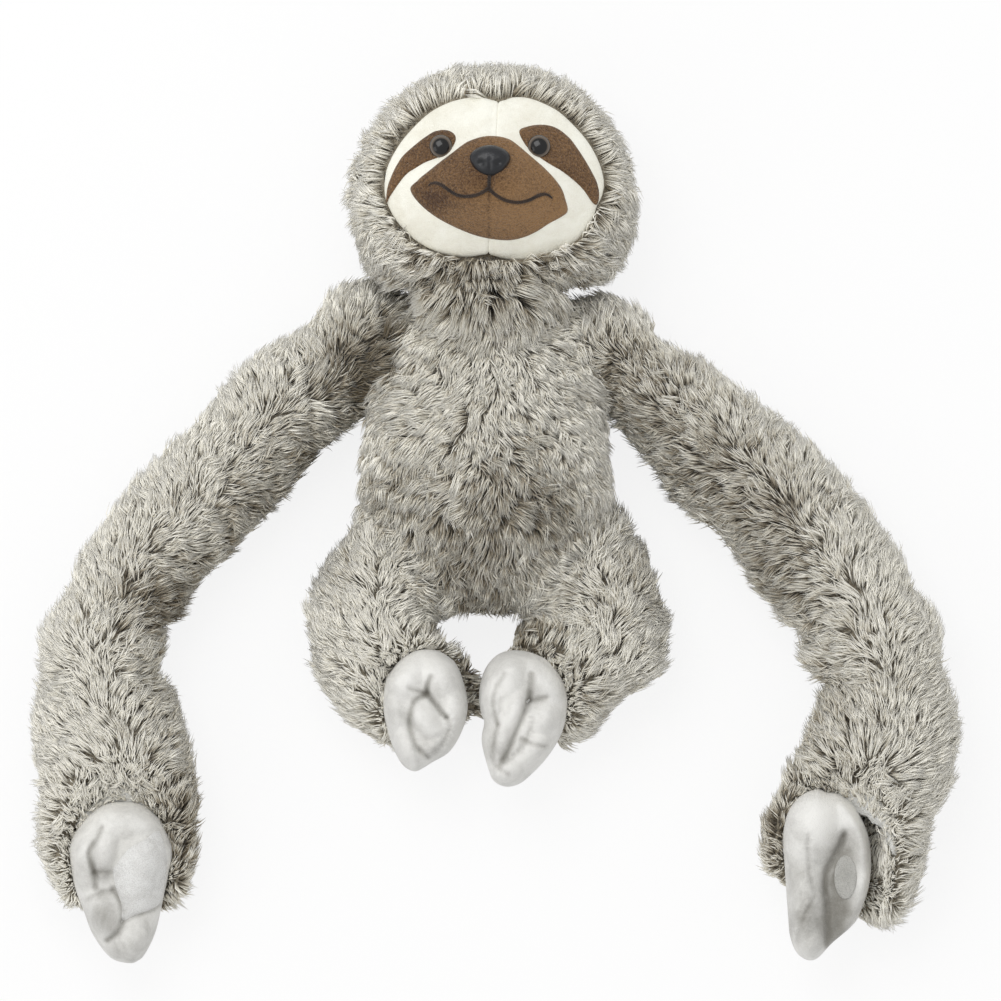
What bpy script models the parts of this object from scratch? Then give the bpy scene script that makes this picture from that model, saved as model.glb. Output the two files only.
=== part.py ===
"""Long-armed plush sloth lying on its back, sewn and stuffed, in metres.

+Z is the front of the toy, +Y is towards its head, and it lies on z = 0.
Right and left are the toy's own, so its right side is at -X.
"""

import math

import bmesh
import bpy
from mathutils import Matrix, Vector

# Cloth, pile and clearances
GAP = 0.0003
FILLING_GAP = 0.0006
SOCKET_GAP = 0.0005
FUR_WALL = 0.009
VELOUR_WALL = 0.0015
REST_CUT = 0.0005
OVERRUN = 0.02
SHARP_DEGREES = 40.0

# Torso
TORSO_TOP = 0.0795
TORSO_LENGTH = 0.1595
TORSO_HALF_WIDTH = 0.066
TORSO_HALF_DEPTH = 0.047
TORSO_ROWS_SHARES = (  # along, half width, half depth, height of the middle
    (0.025, 0.36, 0.30, 0.74), (0.075, 0.58, 0.53, 0.75), (0.15, 0.76, 0.75, 0.83),
    (0.25, 0.91, 0.91, 0.91), (0.375, 0.99, 1.00, 1.00), (0.50, 0.985, 0.99, 0.99),
    (0.625, 0.92, 0.93, 0.93), (0.75, 0.85, 0.85, 0.86), (0.865, 0.76, 0.72, 0.84),
    (0.94, 0.64, 0.58, 0.86), (0.985, 0.44, 0.40, 0.88))
TORSO_TIP_HEIGHT_SHARES = (0.74, 0.88)

# Head, neck and hood
NECK_CLEARANCE = 0.0025
NECK_RADIUS = 0.028
NECK_HEIGHT_SHARE = 0.96
HEAD_LENGTH = 0.113
HEAD_HALF_WIDTH = 0.072
HEAD_HALF_DEPTH = 0.050
HEAD_SHIFT = 0.002
HEAD_ROWS_SHARES = (
    (0.03, 0.70, 0.44, 0.98), (0.075, 0.80, 0.63, 0.98), (0.14, 0.89, 0.79, 0.98),
    (0.27, 0.97, 0.94, 0.99), (0.42, 1.00, 1.00, 1.00), (0.56, 0.96, 0.98, 1.00),
    (0.69, 0.87, 0.91, 0.99), (0.79, 0.75, 0.79, 0.98), (0.885, 0.58, 0.62, 0.97),
    (0.965, 0.34, 0.36, 0.96))
HEAD_TIP_HEIGHT_SHARES = (0.98, 0.96)

# Face cloth and what is sewn on it
CLOTH = 0.0016
FILLING_CLEARANCE = 0.0009
THREAD_CLEARANCE = 0.0004
FACE_UP = 0.055
FACE_SHIFT = 0.001
FACE_HALF_WIDTH = 0.0545
FACE_HALF_LENGTH = 0.0405
FACE_SQUARENESS = 2.3
FACE_EDGE_HEIGHT = 0.078
FACE_RISE = 0.016
FACE_DEPTH = 0.022
FACE_OVERRUN = 0.044
SEAM_GAP = 0.0004
MUZZLE_DROP = 0.0055
MUZZLE_RISE = 0.012
MUZZLE_FALL_SHARE = 1.6
MUZZLE_HALF_WIDTH = 0.0385
MUZZLE_HALF_LENGTH = 0.026
MUZZLE_OUTLINE_SHARES = (
    (1.00, -0.33), (0.96, -0.02), (0.80, 0.28), (0.54, 0.64), (0.27, 0.93), (0.02, 1.00),
    (-0.25, 0.92), (-0.53, 0.60), (-0.79, 0.27), (-0.99, 0.00), (-0.96, -0.22), (-0.77, -0.50),
    (-0.43, -0.77), (-0.02, -0.91), (0.27, -0.98), (0.64, -0.83), (0.87, -0.58))
PATCH_SPAN = 0.030
PATCH_ROWS_SHARES = (  # across from the eye, up from the eye, half width
    (0.79, -0.83, 0.04), (0.70, -0.54, 0.10), (0.52, -0.27, 0.15), (0.28, -0.07, 0.20),
    (0.02, 0.02, 0.235), (-0.15, 0.07, 0.17))
PATCH_TIP_SHARES = ((0.83, -0.95), (-0.28, 0.11))
EYE_SPACING = 0.0495
EYE_UP = 0.0165
EYE_RADIUS = 0.0056
EYE_RISE = 0.0042
NOSE_UP = 0.0105
NOSE_HALF_WIDTH = 0.010
NOSE_HALF_LENGTH = 0.0075
NOSE_RISE = 0.0065
NOSE_FLARE_SHARE = 0.2
NOSE_BACK_SHARE = 0.1
STUD_BACK_SHARE = 0.9
STUD_FLANGE_SHARE = 0.25
STUD_DOME_DEGREES = (0.0, 20.0, 40.0, 60.0, 77.0)
STEM_RADIUS = 0.0015
STEM_LENGTH = 0.010
WASHER_RADIUS = 0.0065
WASHER_THICKNESS = 0.0012
THREAD_RADIUS = 0.0007
SMILE_SHARES = (  # across and down from the middle of the muzzle
    (-0.77, 0.03), (-0.70, 0.05), (-0.54, -0.03), (-0.37, -0.14), (-0.22, -0.15), (-0.06, -0.03),
    (0.02, -0.01), (0.10, -0.10), (0.17, -0.21), (0.33, -0.28), (0.49, -0.22), (0.65, -0.12),
    (0.79, -0.20))
PHILTRUM_SHARES = (0.30, 0.04)
PHILTRUM_STEPS = 3

# Arms
SHOULDER_OUT_SHARE = 0.93
SHOULDER_DOWN = 0.0255
SHOULDER_HEIGHT = 0.030
SHOULDER_RADIUS = 0.027
ELBOW_RADIUS = 0.031
UPPER_ARM_LENGTH = 0.202
ARM_HALF_WIDTH = 0.0325
ARM_HALF_DEPTH = 0.0285
UPPER_ARM_ROWS_SHARES = (
    (0.19, 0.86, 0.89, 1.0), (0.38, 0.92, 0.94, 0.94), (0.57, 0.98, 1.00, 1.0),
    (0.74, 1.00, 1.00, 1.0), (0.85, 0.94, 0.97, 1.0))
FOREARM_LENGTH = 0.139
CUFF_HALF_WIDTH = 0.041
CUFF_HALF_DEPTH = 0.033
FOREARM_ROWS_SHARES = (
    (0.26, 0.83, 0.90, 0.93), (0.43, 0.94, 0.98, 0.98), (0.61, 1.00, 1.00, 1.0),
    (0.76, 0.97, 0.97, 0.97), (0.88, 0.84, 0.80, 0.82), (0.96, 0.56, 0.46, 0.58))
FOREARM_TIP_HEIGHT_SHARE = 0.52
RIGHT_ARM_HEADINGS = ((0.0, 219.0), (0.25, 224.0), (0.5, 232.0), (0.59, 263.0), (0.72, 284.0),
                      (0.85, 274.0), (1.0, 273.0))
LEFT_ARM_HEADINGS = ((0.0, 223.0), (0.3, 222.0), (0.5, 236.0), (0.59, 252.0), (0.7, 277.0),
                     (0.82, 293.0), (1.0, 284.0))

# Paws
WRIST_SHARE = 0.72
WRIST_HEIGHT = 0.043
WRIST_RADIUS = 0.022
PAW_LENGTH = 0.0565
PAW_HALF_WIDTH = 0.0255
PAW_HALF_DEPTH = 0.018
PAW_ROWS_SHARES = ((0.22, 0.97, 1.0, 0.0), (0.45, 1.0, 0.98, 0.0), (0.68, 0.88, 0.86, 0.0),
                   (0.86, 0.62, 0.62, 0.0))
PALM_RISE = 0.0145
PALM_PATCH_THICKNESS = 0.0012
PALM_PATCH_HALF_WIDTH = 0.0105
PALM_PATCH_HALF_LENGTH = 0.0155
PALM_PATCH_ALONG_SHARE = 0.47
PALM_PATCH_SHARES = ((0.62, 1.0), (-0.97, 0.22), (-0.86, -0.18), (-0.62, -1.0), (0.66, -0.75),
                     (1.0, 0.2))

# Legs
HIP_OUT_SHARE = 0.68
HIP_UP_SHARE = 0.157
HIP_HEIGHT = 0.034
HIP_RADIUS = 0.030
LEG_LENGTH = 0.102
LEG_HALF_WIDTH = 0.0335
LEG_HALF_DEPTH = 0.030
LEG_ROWS_SHARES = ((0.32, 0.95, 0.97, 1.0), (0.50, 1.00, 1.00, 1.0), (0.68, 0.97, 1.00, 1.0),
                   (0.83, 0.84, 0.84, 0.85), (0.94, 0.56, 0.50, 0.62))
LEG_TIP_HEIGHT_SHARE = 0.58
LEG_HEADINGS = ((0.0, 229.0), (1.0, 340.0))

# Feet
ANKLE_HEIGHT = 0.046
ANKLE_RADIUS = 0.0195
FOOT_LENGTH = 0.044
FOOT_HALF_WIDTH = 0.0215
FOOT_HALF_DEPTH = 0.0168
FOOT_ROWS_SHARES = ((0.28, 1.0, 1.0, 0.0), (0.55, 0.93, 0.95, 0.0), (0.80, 0.68, 0.72, 0.0))
RIGHT_ANKLE = (-0.0325, -0.1175)
LEFT_ANKLE = (0.0175, -0.1175)
RIGHT_FOOT_HEADING = 268.0
LEFT_FOOT_HEADING = 265.0

# How far each soft joint folds, which sets how a limb narrows or opens beside it
WRIST_LIFT_DEGREES = 40.0
ANKLE_LIFT_DEGREES = 25.0
SHOULDER_RELIEF_DEGREES = 37.0
BEND_RELIEF_DEGREES = 33.0
HIP_RELIEF_DEGREES = 26.0
SEAM_OPENING_SHARE = 0.55
SEAM_DEPTH_SHARE = 0.6
CUP_RIM_SHARES = (0.25, 0.6)  # back from the elbow, radius

# Fineness of the meshes
BODY_SIDES = 22
LIMB_FINENESS = (14, 3)
END_FINENESS = (12, 3)
SOCKET_FINENESS = (16, 4)
BALL_SIDES = 16
BALL_RINGS = 10
SOCKET_RINGS = 9
FACE_SPOKES = 26
FACE_RINGS = 4
TURNED_STEPS = 12
PATH_STEPS = 60
LIFT_STEPS = 3

# Colours as linear values and surface roughness
FUR_COLOUR = (0.42, 0.39, 0.34)
FILLING_COLOUR = (0.85, 0.85, 0.83)
CREAM_COLOUR = (0.92, 0.90, 0.80)
BROWN_COLOUR = (0.18, 0.10, 0.05)
VELOUR_COLOUR = (0.60, 0.60, 0.57)
PATCH_COLOUR = (0.72, 0.72, 0.70)
BLACK_COLOUR = (0.012, 0.012, 0.013)
WHITE_COLOUR = (0.80, 0.80, 0.78)
THREAD_COLOUR = (0.03, 0.018, 0.012)
CLOTH_ROUGHNESS = 0.9
GLOSS_ROUGHNESS = 0.12
PLASTIC_ROUGHNESS = 0.45

TORSO_BOTTOM = TORSO_TOP - TORSO_LENGTH
ELBOW_HEIGHT = ELBOW_RADIUS - REST_CUT
HEAD_BOTTOM = TORSO_TOP + NECK_CLEARANCE
FACE_CENTRE = Vector((FACE_SHIFT, HEAD_BOTTOM + FACE_UP))
MUZZLE_CENTRE = Vector((0.0, FACE_CENTRE.y - MUZZLE_DROP))
NECK_CENTRE = Vector((0.0, TORSO_TOP + NECK_CLEARANCE, HEAD_HALF_DEPTH * NECK_HEIGHT_SHARE))
UP = Vector((0.0, 0.0, 1.0))

# Sides of a face sheet: an offset from the cloth's outer side, or a level of its own
INNER_SIDE = (-CLOTH, None)
OUTER_SIDE = (0.0, None)
DEEP_SIDE = (0.0, FACE_EDGE_HEIGHT - FACE_DEPTH)
FAR_SIDE = (0.0, FACE_EDGE_HEIGHT + FACE_OVERRUN)


def clear_scene():
    """Remove what the scene holds."""
    for item in list(bpy.data.objects):
        bpy.data.objects.remove(item)


def finish(name, colour, roughness):
    """A plain surface finish."""
    material = bpy.data.materials.new(name)
    material.use_nodes = True
    shader = material.node_tree.nodes["Principled BSDF"]
    shader.inputs["Base Color"].default_value = (*colour, 1.0)
    shader.inputs["Roughness"].default_value = roughness
    shader.inputs["Metallic"].default_value = 0.0
    return material


def add_object(name, form, material=None, origin=(0.0, 0.0, 0.0)):
    """Put a form in the scene, with its own origin at the given place."""
    place = Vector(origin)
    bmesh.ops.translate(form, vec=-place, verts=form.verts)
    mesh = bpy.data.meshes.new(name)
    form.to_mesh(mesh)
    form.free()
    if material:
        mesh.materials.append(material)
        mesh.shade_smooth()
        mesh.set_sharp_from_angle(angle=math.radians(SHARP_DEGREES))
    item = bpy.data.objects.new(name, mesh)
    item.location = place
    bpy.context.scene.collection.objects.link(item)
    return item


def add_cutter(name, form):
    """Put a cutting form in the scene, which isn't part of the toy."""
    cutter = add_object("cutter_" + name, form)
    cutter.hide_render = True
    cutter.display_type = "WIRE"
    return cutter


def shape_with(item, cutter, operation="DIFFERENCE"):
    """Cut or join one object with another."""
    change = item.modifiers.new(cutter.name, "BOOLEAN")
    change.operation = operation
    change.solver = "EXACT"
    change.object = cutter


def skinned(rings, start, finish_point):
    """Skin closed rings into one form, with a point at each end."""
    form = bmesh.new()
    loops = [[form.verts.new(point) for point in ring] for ring in rings]
    count = len(loops[0])
    for before, after in zip(loops, loops[1:]):
        for index in range(count):
            beside = (index + 1) % count
            form.faces.new((before[index], before[beside], after[beside], after[index]))
    for tip, ring in ((start, loops[0]), (finish_point, loops[-1])):
        apex = form.verts.new(tip)
        for index in range(count):
            form.faces.new((ring[index], ring[(index + 1) % count], apex))
    bmesh.ops.recalc_face_normals(form, faces=form.faces)
    bmesh.ops.triangulate(form, faces=form.faces)
    return form


def oval(centre, side, half_width, half_depth, sides):
    """Points round an upright oval cross-section, starting at its lowest."""
    turns = (math.tau * step / sides - math.pi / 2 for step in range(sides))
    return [centre + side * (half_width * math.cos(turn)) + UP * (half_depth * math.sin(turn))
            for turn in turns]


def swelled(form, distance):
    """A copy of a form with its surface moved outwards by a distance."""
    copy = form.copy()
    copy.normal_update()
    moves = [(vert, vert.normal * distance) for vert in copy.verts]
    for vert, move in moves:
        vert.co += move
    return copy


def sliced(form, point, direction):
    """Cut off what lies past a plane and close the cut."""
    everything = form.verts[:] + form.edges[:] + form.faces[:]
    cut = bmesh.ops.bisect_plane(form, geom=everything, plane_co=point, plane_no=direction,
                                 clear_outer=True)
    edges = [part for part in cut["geom_cut"] if isinstance(part, bmesh.types.BMEdge)]
    bmesh.ops.edgeloop_fill(form, edges=edges)
    bmesh.ops.recalc_face_normals(form, faces=form.faces)
    return form


def laid_flat(form):
    """Flatten a form where it lies on the ground."""
    return sliced(form, (0.0, 0.0, 0.0), -UP)


def ball(centre, radius, rings, turn):
    """A faceted ball whose corners lie at the radius, turned about its upright axis."""
    form = bmesh.new()
    frame = Matrix.Translation(centre) @ Matrix.Rotation(turn, 4, "Z")
    bmesh.ops.create_uvsphere(form, u_segments=BALL_SIDES, v_segments=rings, radius=radius,
                              matrix=frame)
    return form


def socket(name, centre, radius):
    """A faceted ball that clears a turning ball, with its flats over that ball's corners."""
    half_step = math.pi / BALL_SIDES
    flats = math.cos(half_step) * math.cos(math.pi / (2 * SOCKET_RINGS))
    return add_cutter(name + "_socket", ball(centre, (radius + GAP) / flats, SOCKET_RINGS, half_step))


def body_form(bottom, length, half_width, half_depth, rows, tip_heights, shift):
    """A body or head that swells and tapers along Y."""
    rings = []
    for along, width, depth, height in rows:
        centre = Vector((shift, bottom + length * along, half_depth * height - REST_CUT))
        rings.append(oval(centre, Vector((1.0, 0.0, 0.0)), half_width * width,
                          half_depth * depth, BODY_SIDES))
    low = Vector((shift, bottom, half_depth * tip_heights[0]))
    high = Vector((shift, bottom + length, half_depth * tip_heights[1]))
    return skinned(rings, low, high)


def heading_at(headings, share):
    """The heading in radians at a share of the length."""
    for (start, first), (end, second) in zip(headings, headings[1:]):
        if share <= end:
            blend = max(share - start, 0.0) / (end - start)
            return math.radians(first + (second - first) * blend)
    return math.radians(headings[-1][1])


def mirrored_headings(headings):
    """The same turns on the other side of the toy."""
    return tuple((share, 180.0 - heading) for share, heading in headings)


def path_place(start, headings, length, distance):
    """Point and heading in plan at a distance along a limb that turns as it goes."""
    if distance <= 0.0:
        heading = heading_at(headings, 0.0)
        return start + Vector((math.cos(heading), math.sin(heading))) * distance, heading
    point = start.copy()
    step = distance / PATH_STEPS
    for index in range(PATH_STEPS):
        heading = heading_at(headings, (index + 0.5) * step / length)
        point += Vector((math.cos(heading), math.sin(heading))) * step
    return point, heading_at(headings, distance / length)


def ball_rows(radius, relief_degrees, steps):
    """Distance and radius down a ball, from near its back to where a limb leaves it."""
    turns = [90.0 * step / steps for step in range(1, steps + 1)]
    turns.append(90.0 + relief_degrees)
    return [(-radius * math.cos(math.radians(turn)), radius * math.sin(math.radians(turn)))
            for turn in turns]


def limb_form(route, ball_radius, ball_height, relief, rows, sizes, tip, fineness):
    """A limb that starts as a ball on its joint, narrows beside it, and swells along a route."""
    length, half_width, half_depth = sizes
    sides, steps = fineness
    stations = [(distance, radius, radius, ball_height)
                for distance, radius in ball_rows(ball_radius, relief, steps)]
    for along, width, depth, height in rows:
        stations.append((length * along, half_width * width, half_depth * depth, height))
    rings = []
    for distance, width, depth, height in stations:
        point, heading = route(distance)
        side = Vector((math.sin(heading), -math.cos(heading), 0.0))
        rings.append(oval(Vector((point.x, point.y, height)), side, width, depth, sides))
    back, _ = route(-ball_radius)
    front, _ = route(tip[0])
    return skinned(rings, Vector((back.x, back.y, ball_height)), Vector((front.x, front.y, tip[1])))


def lying_rows(rows, half_depth):
    """Rows of a limb that lies on the ground, with real heights."""
    return [(along, width, depth, half_depth * height - REST_CUT)
            for along, width, depth, height in rows]


def level_rows(rows, level):
    """Rows of a paw or foot, all at one height."""
    return [(along, width, depth, level) for along, width, depth, _ in rows]


def hollow(item, core, wall_name):
    """Take a core out of a cover."""
    shape_with(item, add_cutter(wall_name, core))


def stuffed(name, form, wall, finishes, origin, cutters, flat=True):
    """A sewn cover and the filling inside it, both cut by what they meet."""
    core_hollow = swelled(form, -wall)
    core = swelled(form, -wall - FILLING_GAP)
    if flat:
        laid_flat(form)
    cover = add_object(name + "_cover", form, finishes[0], origin)
    hollow(cover, core_hollow, name + "_hollow")
    filling = add_object(name + "_stuffing", core, finishes[1], origin)
    for cutter in cutters:
        shape_with(cover, cutter)
        shape_with(filling, cutter)
    return cover, filling


def face_height(point):
    """Height of the outer side of the face cloth over the ground."""
    across = (point.x - FACE_CENTRE.x) / FACE_HALF_WIDTH
    along = (point.y - FACE_CENTRE.y) / FACE_HALF_LENGTH
    beside = (point.x - MUZZLE_CENTRE.x) / MUZZLE_HALF_WIDTH
    below = (point.y - MUZZLE_CENTRE.y) / MUZZLE_HALF_LENGTH
    dome = FACE_RISE * (1.0 - across * across - along * along)
    snout = MUZZLE_RISE * math.exp(-MUZZLE_FALL_SHARE * (beside * beside + below * below))
    return FACE_EDGE_HEIGHT + dome + snout


def face_outline(margin):
    """Points round the face opening, moved out by a margin."""
    power = 2.0 / FACE_SQUARENESS
    points = []
    for step in range(FACE_SPOKES):
        turn = math.tau * (step + 0.5) / FACE_SPOKES
        across = math.copysign(abs(math.cos(turn)) ** power, math.cos(turn))
        along = math.copysign(abs(math.sin(turn)) ** power, math.sin(turn))
        points.append(FACE_CENTRE + Vector(((FACE_HALF_WIDTH + margin) * across,
                                            (FACE_HALF_LENGTH + margin) * along)))
    return points


def sheet_height(place, side):
    """Height of one side of a sheet, from its offset to the face cloth or its own level."""
    offset, level = side
    return face_height(place) + offset if level is None else level


def face_sheet(outline, centre, low, high):
    """A sheet inside an outline, where each side is an offset from the face or a level."""
    form = bmesh.new()
    layers = []
    for side in (low, high):
        layer = []
        for ring in range(1, FACE_RINGS + 1):
            loop = []
            for point in outline:
                place = centre + (point - centre) * (ring / FACE_RINGS)
                loop.append(form.verts.new((place.x, place.y, sheet_height(place, side))))
            layer.append(loop)
        layers.append((form.verts.new((centre.x, centre.y, sheet_height(centre, side))), layer))
    count = len(outline)
    for middle, layer in layers:
        for index in range(count):
            beside = (index + 1) % count
            form.faces.new((middle, layer[0][index], layer[0][beside]))
            for inner, outer in zip(layer, layer[1:]):
                form.faces.new((inner[index], outer[index], outer[beside], inner[beside]))
    under, over = layers[0][1][-1], layers[1][1][-1]
    for index in range(count):
        beside = (index + 1) % count
        form.faces.new((under[index], under[beside], over[beside], over[index]))
    bmesh.ops.recalc_face_normals(form, faces=form.faces)
    return form


def eye_centre(side):
    """Where an eye sits in plan, with side -1 for the toy's right."""
    return Vector((side * EYE_SPACING / 2, FACE_CENTRE.y + EYE_UP))


def patch_sheet(side, margin, low, high):
    """The long patch that sweeps from the eye to the edge of the face, moved out by a margin."""
    eye = eye_centre(side)
    rows = [(Vector((eye.x + side * PATCH_SPAN * across, eye.y + PATCH_SPAN * along)),
             PATCH_SPAN * width + margin) for across, along, width in PATCH_ROWS_SHARES]
    tips = [Vector((eye.x + side * PATCH_SPAN * across, eye.y + PATCH_SPAN * along))
            for across, along in PATCH_TIP_SHARES]
    tips[0] += (tips[0] - rows[0][0]).normalized() * margin
    tips[1] += (tips[1] - rows[-1][0]).normalized() * margin
    middles = [tips[0]] + [row[0] for row in rows] + [tips[1]]
    form = bmesh.new()
    rings = []
    for index, (middle, width) in enumerate(rows, start=1):
        heading = (middles[index + 1] - middles[index - 1]).normalized()
        normal = Vector((-heading.y, heading.x))
        edge_a, edge_b = middle + normal * width, middle - normal * width
        rings.append([form.verts.new((place.x, place.y, sheet_height(place, edge)))
                      for place, edge in ((edge_a, low), (middle, low), (edge_b, low),
                                          (edge_b, high), (middle, high), (edge_a, high))])
    count = len(rings[0])
    for before, after in zip(rings, rings[1:]):
        for index in range(count):
            beside = (index + 1) % count
            form.faces.new((before[index], before[beside], after[beside], after[index]))
    for tip, ring in ((tips[0], rings[0]), (tips[1], rings[-1])):
        under = form.verts.new((tip.x, tip.y, sheet_height(tip, low)))
        over = form.verts.new((tip.x, tip.y, sheet_height(tip, high)))
        form.faces.new((ring[0], ring[1], under))
        form.faces.new((ring[1], ring[2], under))
        form.faces.new((ring[2], ring[3], over, under))
        form.faces.new((ring[3], ring[4], over))
        form.faces.new((ring[4], ring[5], over))
        form.faces.new((ring[5], ring[0], under, over))
    bmesh.ops.recalc_face_normals(form, faces=form.faces)
    return form


def face_normal(place):
    """Direction square to the face at a place in plan."""
    step = GAP
    slope_x = face_height(place + Vector((step, 0.0))) - face_height(place - Vector((step, 0.0)))
    slope_y = face_height(place + Vector((0.0, step))) - face_height(place - Vector((0.0, step)))
    return Vector((-slope_x, -slope_y, 2 * step)).normalized()


def seat_frame(place, reach, offset, highest):
    """Frame square to the face whose base clears the cloth within a reach."""
    normal = face_normal(place)
    outside = Vector((place.x, place.y, face_height(place)))
    centre = outside + normal * (offset * normal.z)
    heights = []
    for step in range(BODY_SIDES):
        turn = math.tau * step / BODY_SIDES
        rim = centre.xy + Vector((math.cos(turn), math.sin(turn))) * reach
        point = Vector((rim.x, rim.y, face_height(rim) + offset))
        heights.append((point - centre).dot(normal))
    heights.append(0.0)
    lift = max(heights) + GAP if highest else min(heights) - GAP
    turn = normal.to_track_quat("Z", "Y").to_matrix().to_4x4()
    return Matrix.Translation(centre + normal * lift) @ turn


def turned(profile, frame):
    """Turn a profile of radius and height round the frame's axis, from pole to pole."""
    rings = []
    for radius, height in profile[1:-1]:
        rings.append([frame @ Vector((radius * math.cos(math.tau * step / TURNED_STEPS),
                                      radius * math.sin(math.tau * step / TURNED_STEPS), height))
                      for step in range(TURNED_STEPS)])
    return skinned(rings, frame @ Vector((0.0, 0.0, profile[0][1])),
                   frame @ Vector((0.0, 0.0, profile[-1][1])))


def rod(frame, radius, low, high):
    """A round rod along a frame's axis."""
    return turned(((0.0, low), (radius, low), (radius, high), (0.0, high)), frame)


def stud_profile(radius, rise):
    """Profile of a domed button with a flange and a stem behind it."""
    flange = rise * STUD_FLANGE_SHARE
    dome = [(radius * math.cos(math.radians(turn)),
             flange + (rise - flange) * math.sin(math.radians(turn))) for turn in STUD_DOME_DEGREES]
    return [(0.0, -STEM_LENGTH), (STEM_RADIUS, -STEM_LENGTH), (STEM_RADIUS, 0.0),
            (radius * STUD_BACK_SHARE, 0.0)] + dome + [(0.0, rise)]


def washer(frame):
    """The locking washer behind the cloth."""
    form = bmesh.new()
    inner, outer = STEM_RADIUS + GAP, WASHER_RADIUS
    loops = []
    for radius, height in ((inner, -WASHER_THICKNESS), (outer, -WASHER_THICKNESS),
                           (outer, 0.0), (inner, 0.0)):
        loops.append([form.verts.new(frame @ Vector((
            radius * math.cos(math.tau * step / TURNED_STEPS),
            radius * math.sin(math.tau * step / TURNED_STEPS), height)))
            for step in range(TURNED_STEPS)])
    for before, after in zip(loops, loops[1:] + loops[:1]):
        for index in range(TURNED_STEPS):
            beside = (index + 1) % TURNED_STEPS
            form.faces.new((before[index], before[beside], after[beside], after[index]))
    bmesh.ops.recalc_face_normals(form, faces=form.faces)
    return form


def thread(name, places, material):
    """A line of satin stitches that lies on the muzzle."""
    curve = bpy.data.curves.new(name, "CURVE")
    curve.dimensions = "3D"
    curve.bevel_depth = THREAD_RADIUS
    curve.bevel_resolution = 1
    curve.use_fill_caps = True
    spline = curve.splines.new("POLY")
    spline.points.add(len(places) - 1)
    for point, place in zip(spline.points, places):
        height = face_height(place) + THREAD_CLEARANCE + THREAD_RADIUS
        point.co = (place.x, place.y, height, 1.0)
    curve.materials.append(material)
    item = bpy.data.objects.new(name, curve)
    bpy.context.scene.collection.objects.link(item)
    return item


def smooth_line(points, parts):
    """Points on a smooth line through the given ones."""
    line = []
    padded = [points[0] * 2 - points[1]] + points + [points[-1] * 2 - points[-2]]
    for before, first, second, after in zip(padded, padded[1:], padded[2:], padded[3:]):
        for step in range(parts):
            t = step / parts
            line.append(0.5 * ((2 * first) + (second - before) * t
                               + (2 * before - 5 * first + 4 * second - after) * t * t
                               + (3 * first - before - 3 * second + after) * t ** 3))
    line.append(points[-1])
    return line


def make_torso(finishes, cutters):
    """Body of the toy, with sockets for the neck, arms and legs."""
    form = body_form(TORSO_BOTTOM, TORSO_LENGTH, TORSO_HALF_WIDTH, TORSO_HALF_DEPTH,
                     TORSO_ROWS_SHARES, TORSO_TIP_HEIGHT_SHARES, 0.0)
    stuffed("torso", form, FUR_WALL, finishes, (0.0, 0.0, 0.0), cutters)


def make_neck(filling):
    """Wad of filling that the head turns and nods on."""
    add_object("neck_stuffing", ball(NECK_CENTRE, NECK_RADIUS, BALL_RINGS, 0.0), filling, NECK_CENTRE)


def make_head(finishes):
    """Hood of fur round the face, and the filling of the head."""
    form = body_form(HEAD_BOTTOM, HEAD_LENGTH, HEAD_HALF_WIDTH, HEAD_HALF_DEPTH,
                     HEAD_ROWS_SHARES, HEAD_TIP_HEIGHT_SHARES, HEAD_SHIFT)
    neck = socket("head_neck", NECK_CENTRE, NECK_RADIUS)
    hood, filling = stuffed("head", form, FUR_WALL, finishes, NECK_CENTRE, ())
    opening = face_sheet(face_outline(GAP), FACE_CENTRE, DEEP_SIDE, FAR_SIDE)
    shape_with(hood, add_cutter("face_opening", opening))
    front = face_sheet(face_outline(0.0), FACE_CENTRE, DEEP_SIDE,
                       (-CLOTH - FILLING_CLEARANCE, None))
    shape_with(filling, add_cutter("face_filling", front), "UNION")
    shape_with(hood, neck)
    shape_with(filling, neck)
    return filling


def muzzle_outline(margin):
    """Points round the muzzle, moved out by a margin."""
    return [MUZZLE_CENTRE + Vector(((MUZZLE_HALF_WIDTH + margin) * across,
                                    (MUZZLE_HALF_LENGTH + margin) * along))
            for across, along in MUZZLE_OUTLINE_SHARES]


def make_face(cream, brown):
    """Two mirrored face panels, with the muzzle and the eye patches sewn into them."""
    pieces = {}
    muzzle = face_sheet(muzzle_outline(0.0), MUZZLE_CENTRE, INNER_SIDE, OUTER_SIDE)
    pieces["muzzle_panel"] = add_object("muzzle_panel", muzzle, brown, NECK_CENTRE)
    muzzle_hole = add_cutter("muzzle", face_sheet(muzzle_outline(SEAM_GAP), MUZZLE_CENTRE,
                                                  DEEP_SIDE, FAR_SIDE))
    for name, side in (("right", -1), ("left", 1)):
        sheet = face_sheet(face_outline(0.0), FACE_CENTRE, INNER_SIDE, OUTER_SIDE)
        seam = (FACE_CENTRE.x + side * GAP / 2, 0.0, 0.0)
        panel = add_object("face_panel_" + name, sliced(sheet, seam, (-side, 0.0, 0.0)), cream,
                           NECK_CENTRE)
        patch = patch_sheet(side, 0.0, INNER_SIDE, OUTER_SIDE)
        pieces["eye_patch_" + name] = add_object("eye_patch_" + name, patch, brown, NECK_CENTRE)
        patch_hole = patch_sheet(side, SEAM_GAP, DEEP_SIDE, FAR_SIDE)
        shape_with(panel, muzzle_hole)
        shape_with(panel, add_cutter("patch_" + name, patch_hole))
    return pieces


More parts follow.
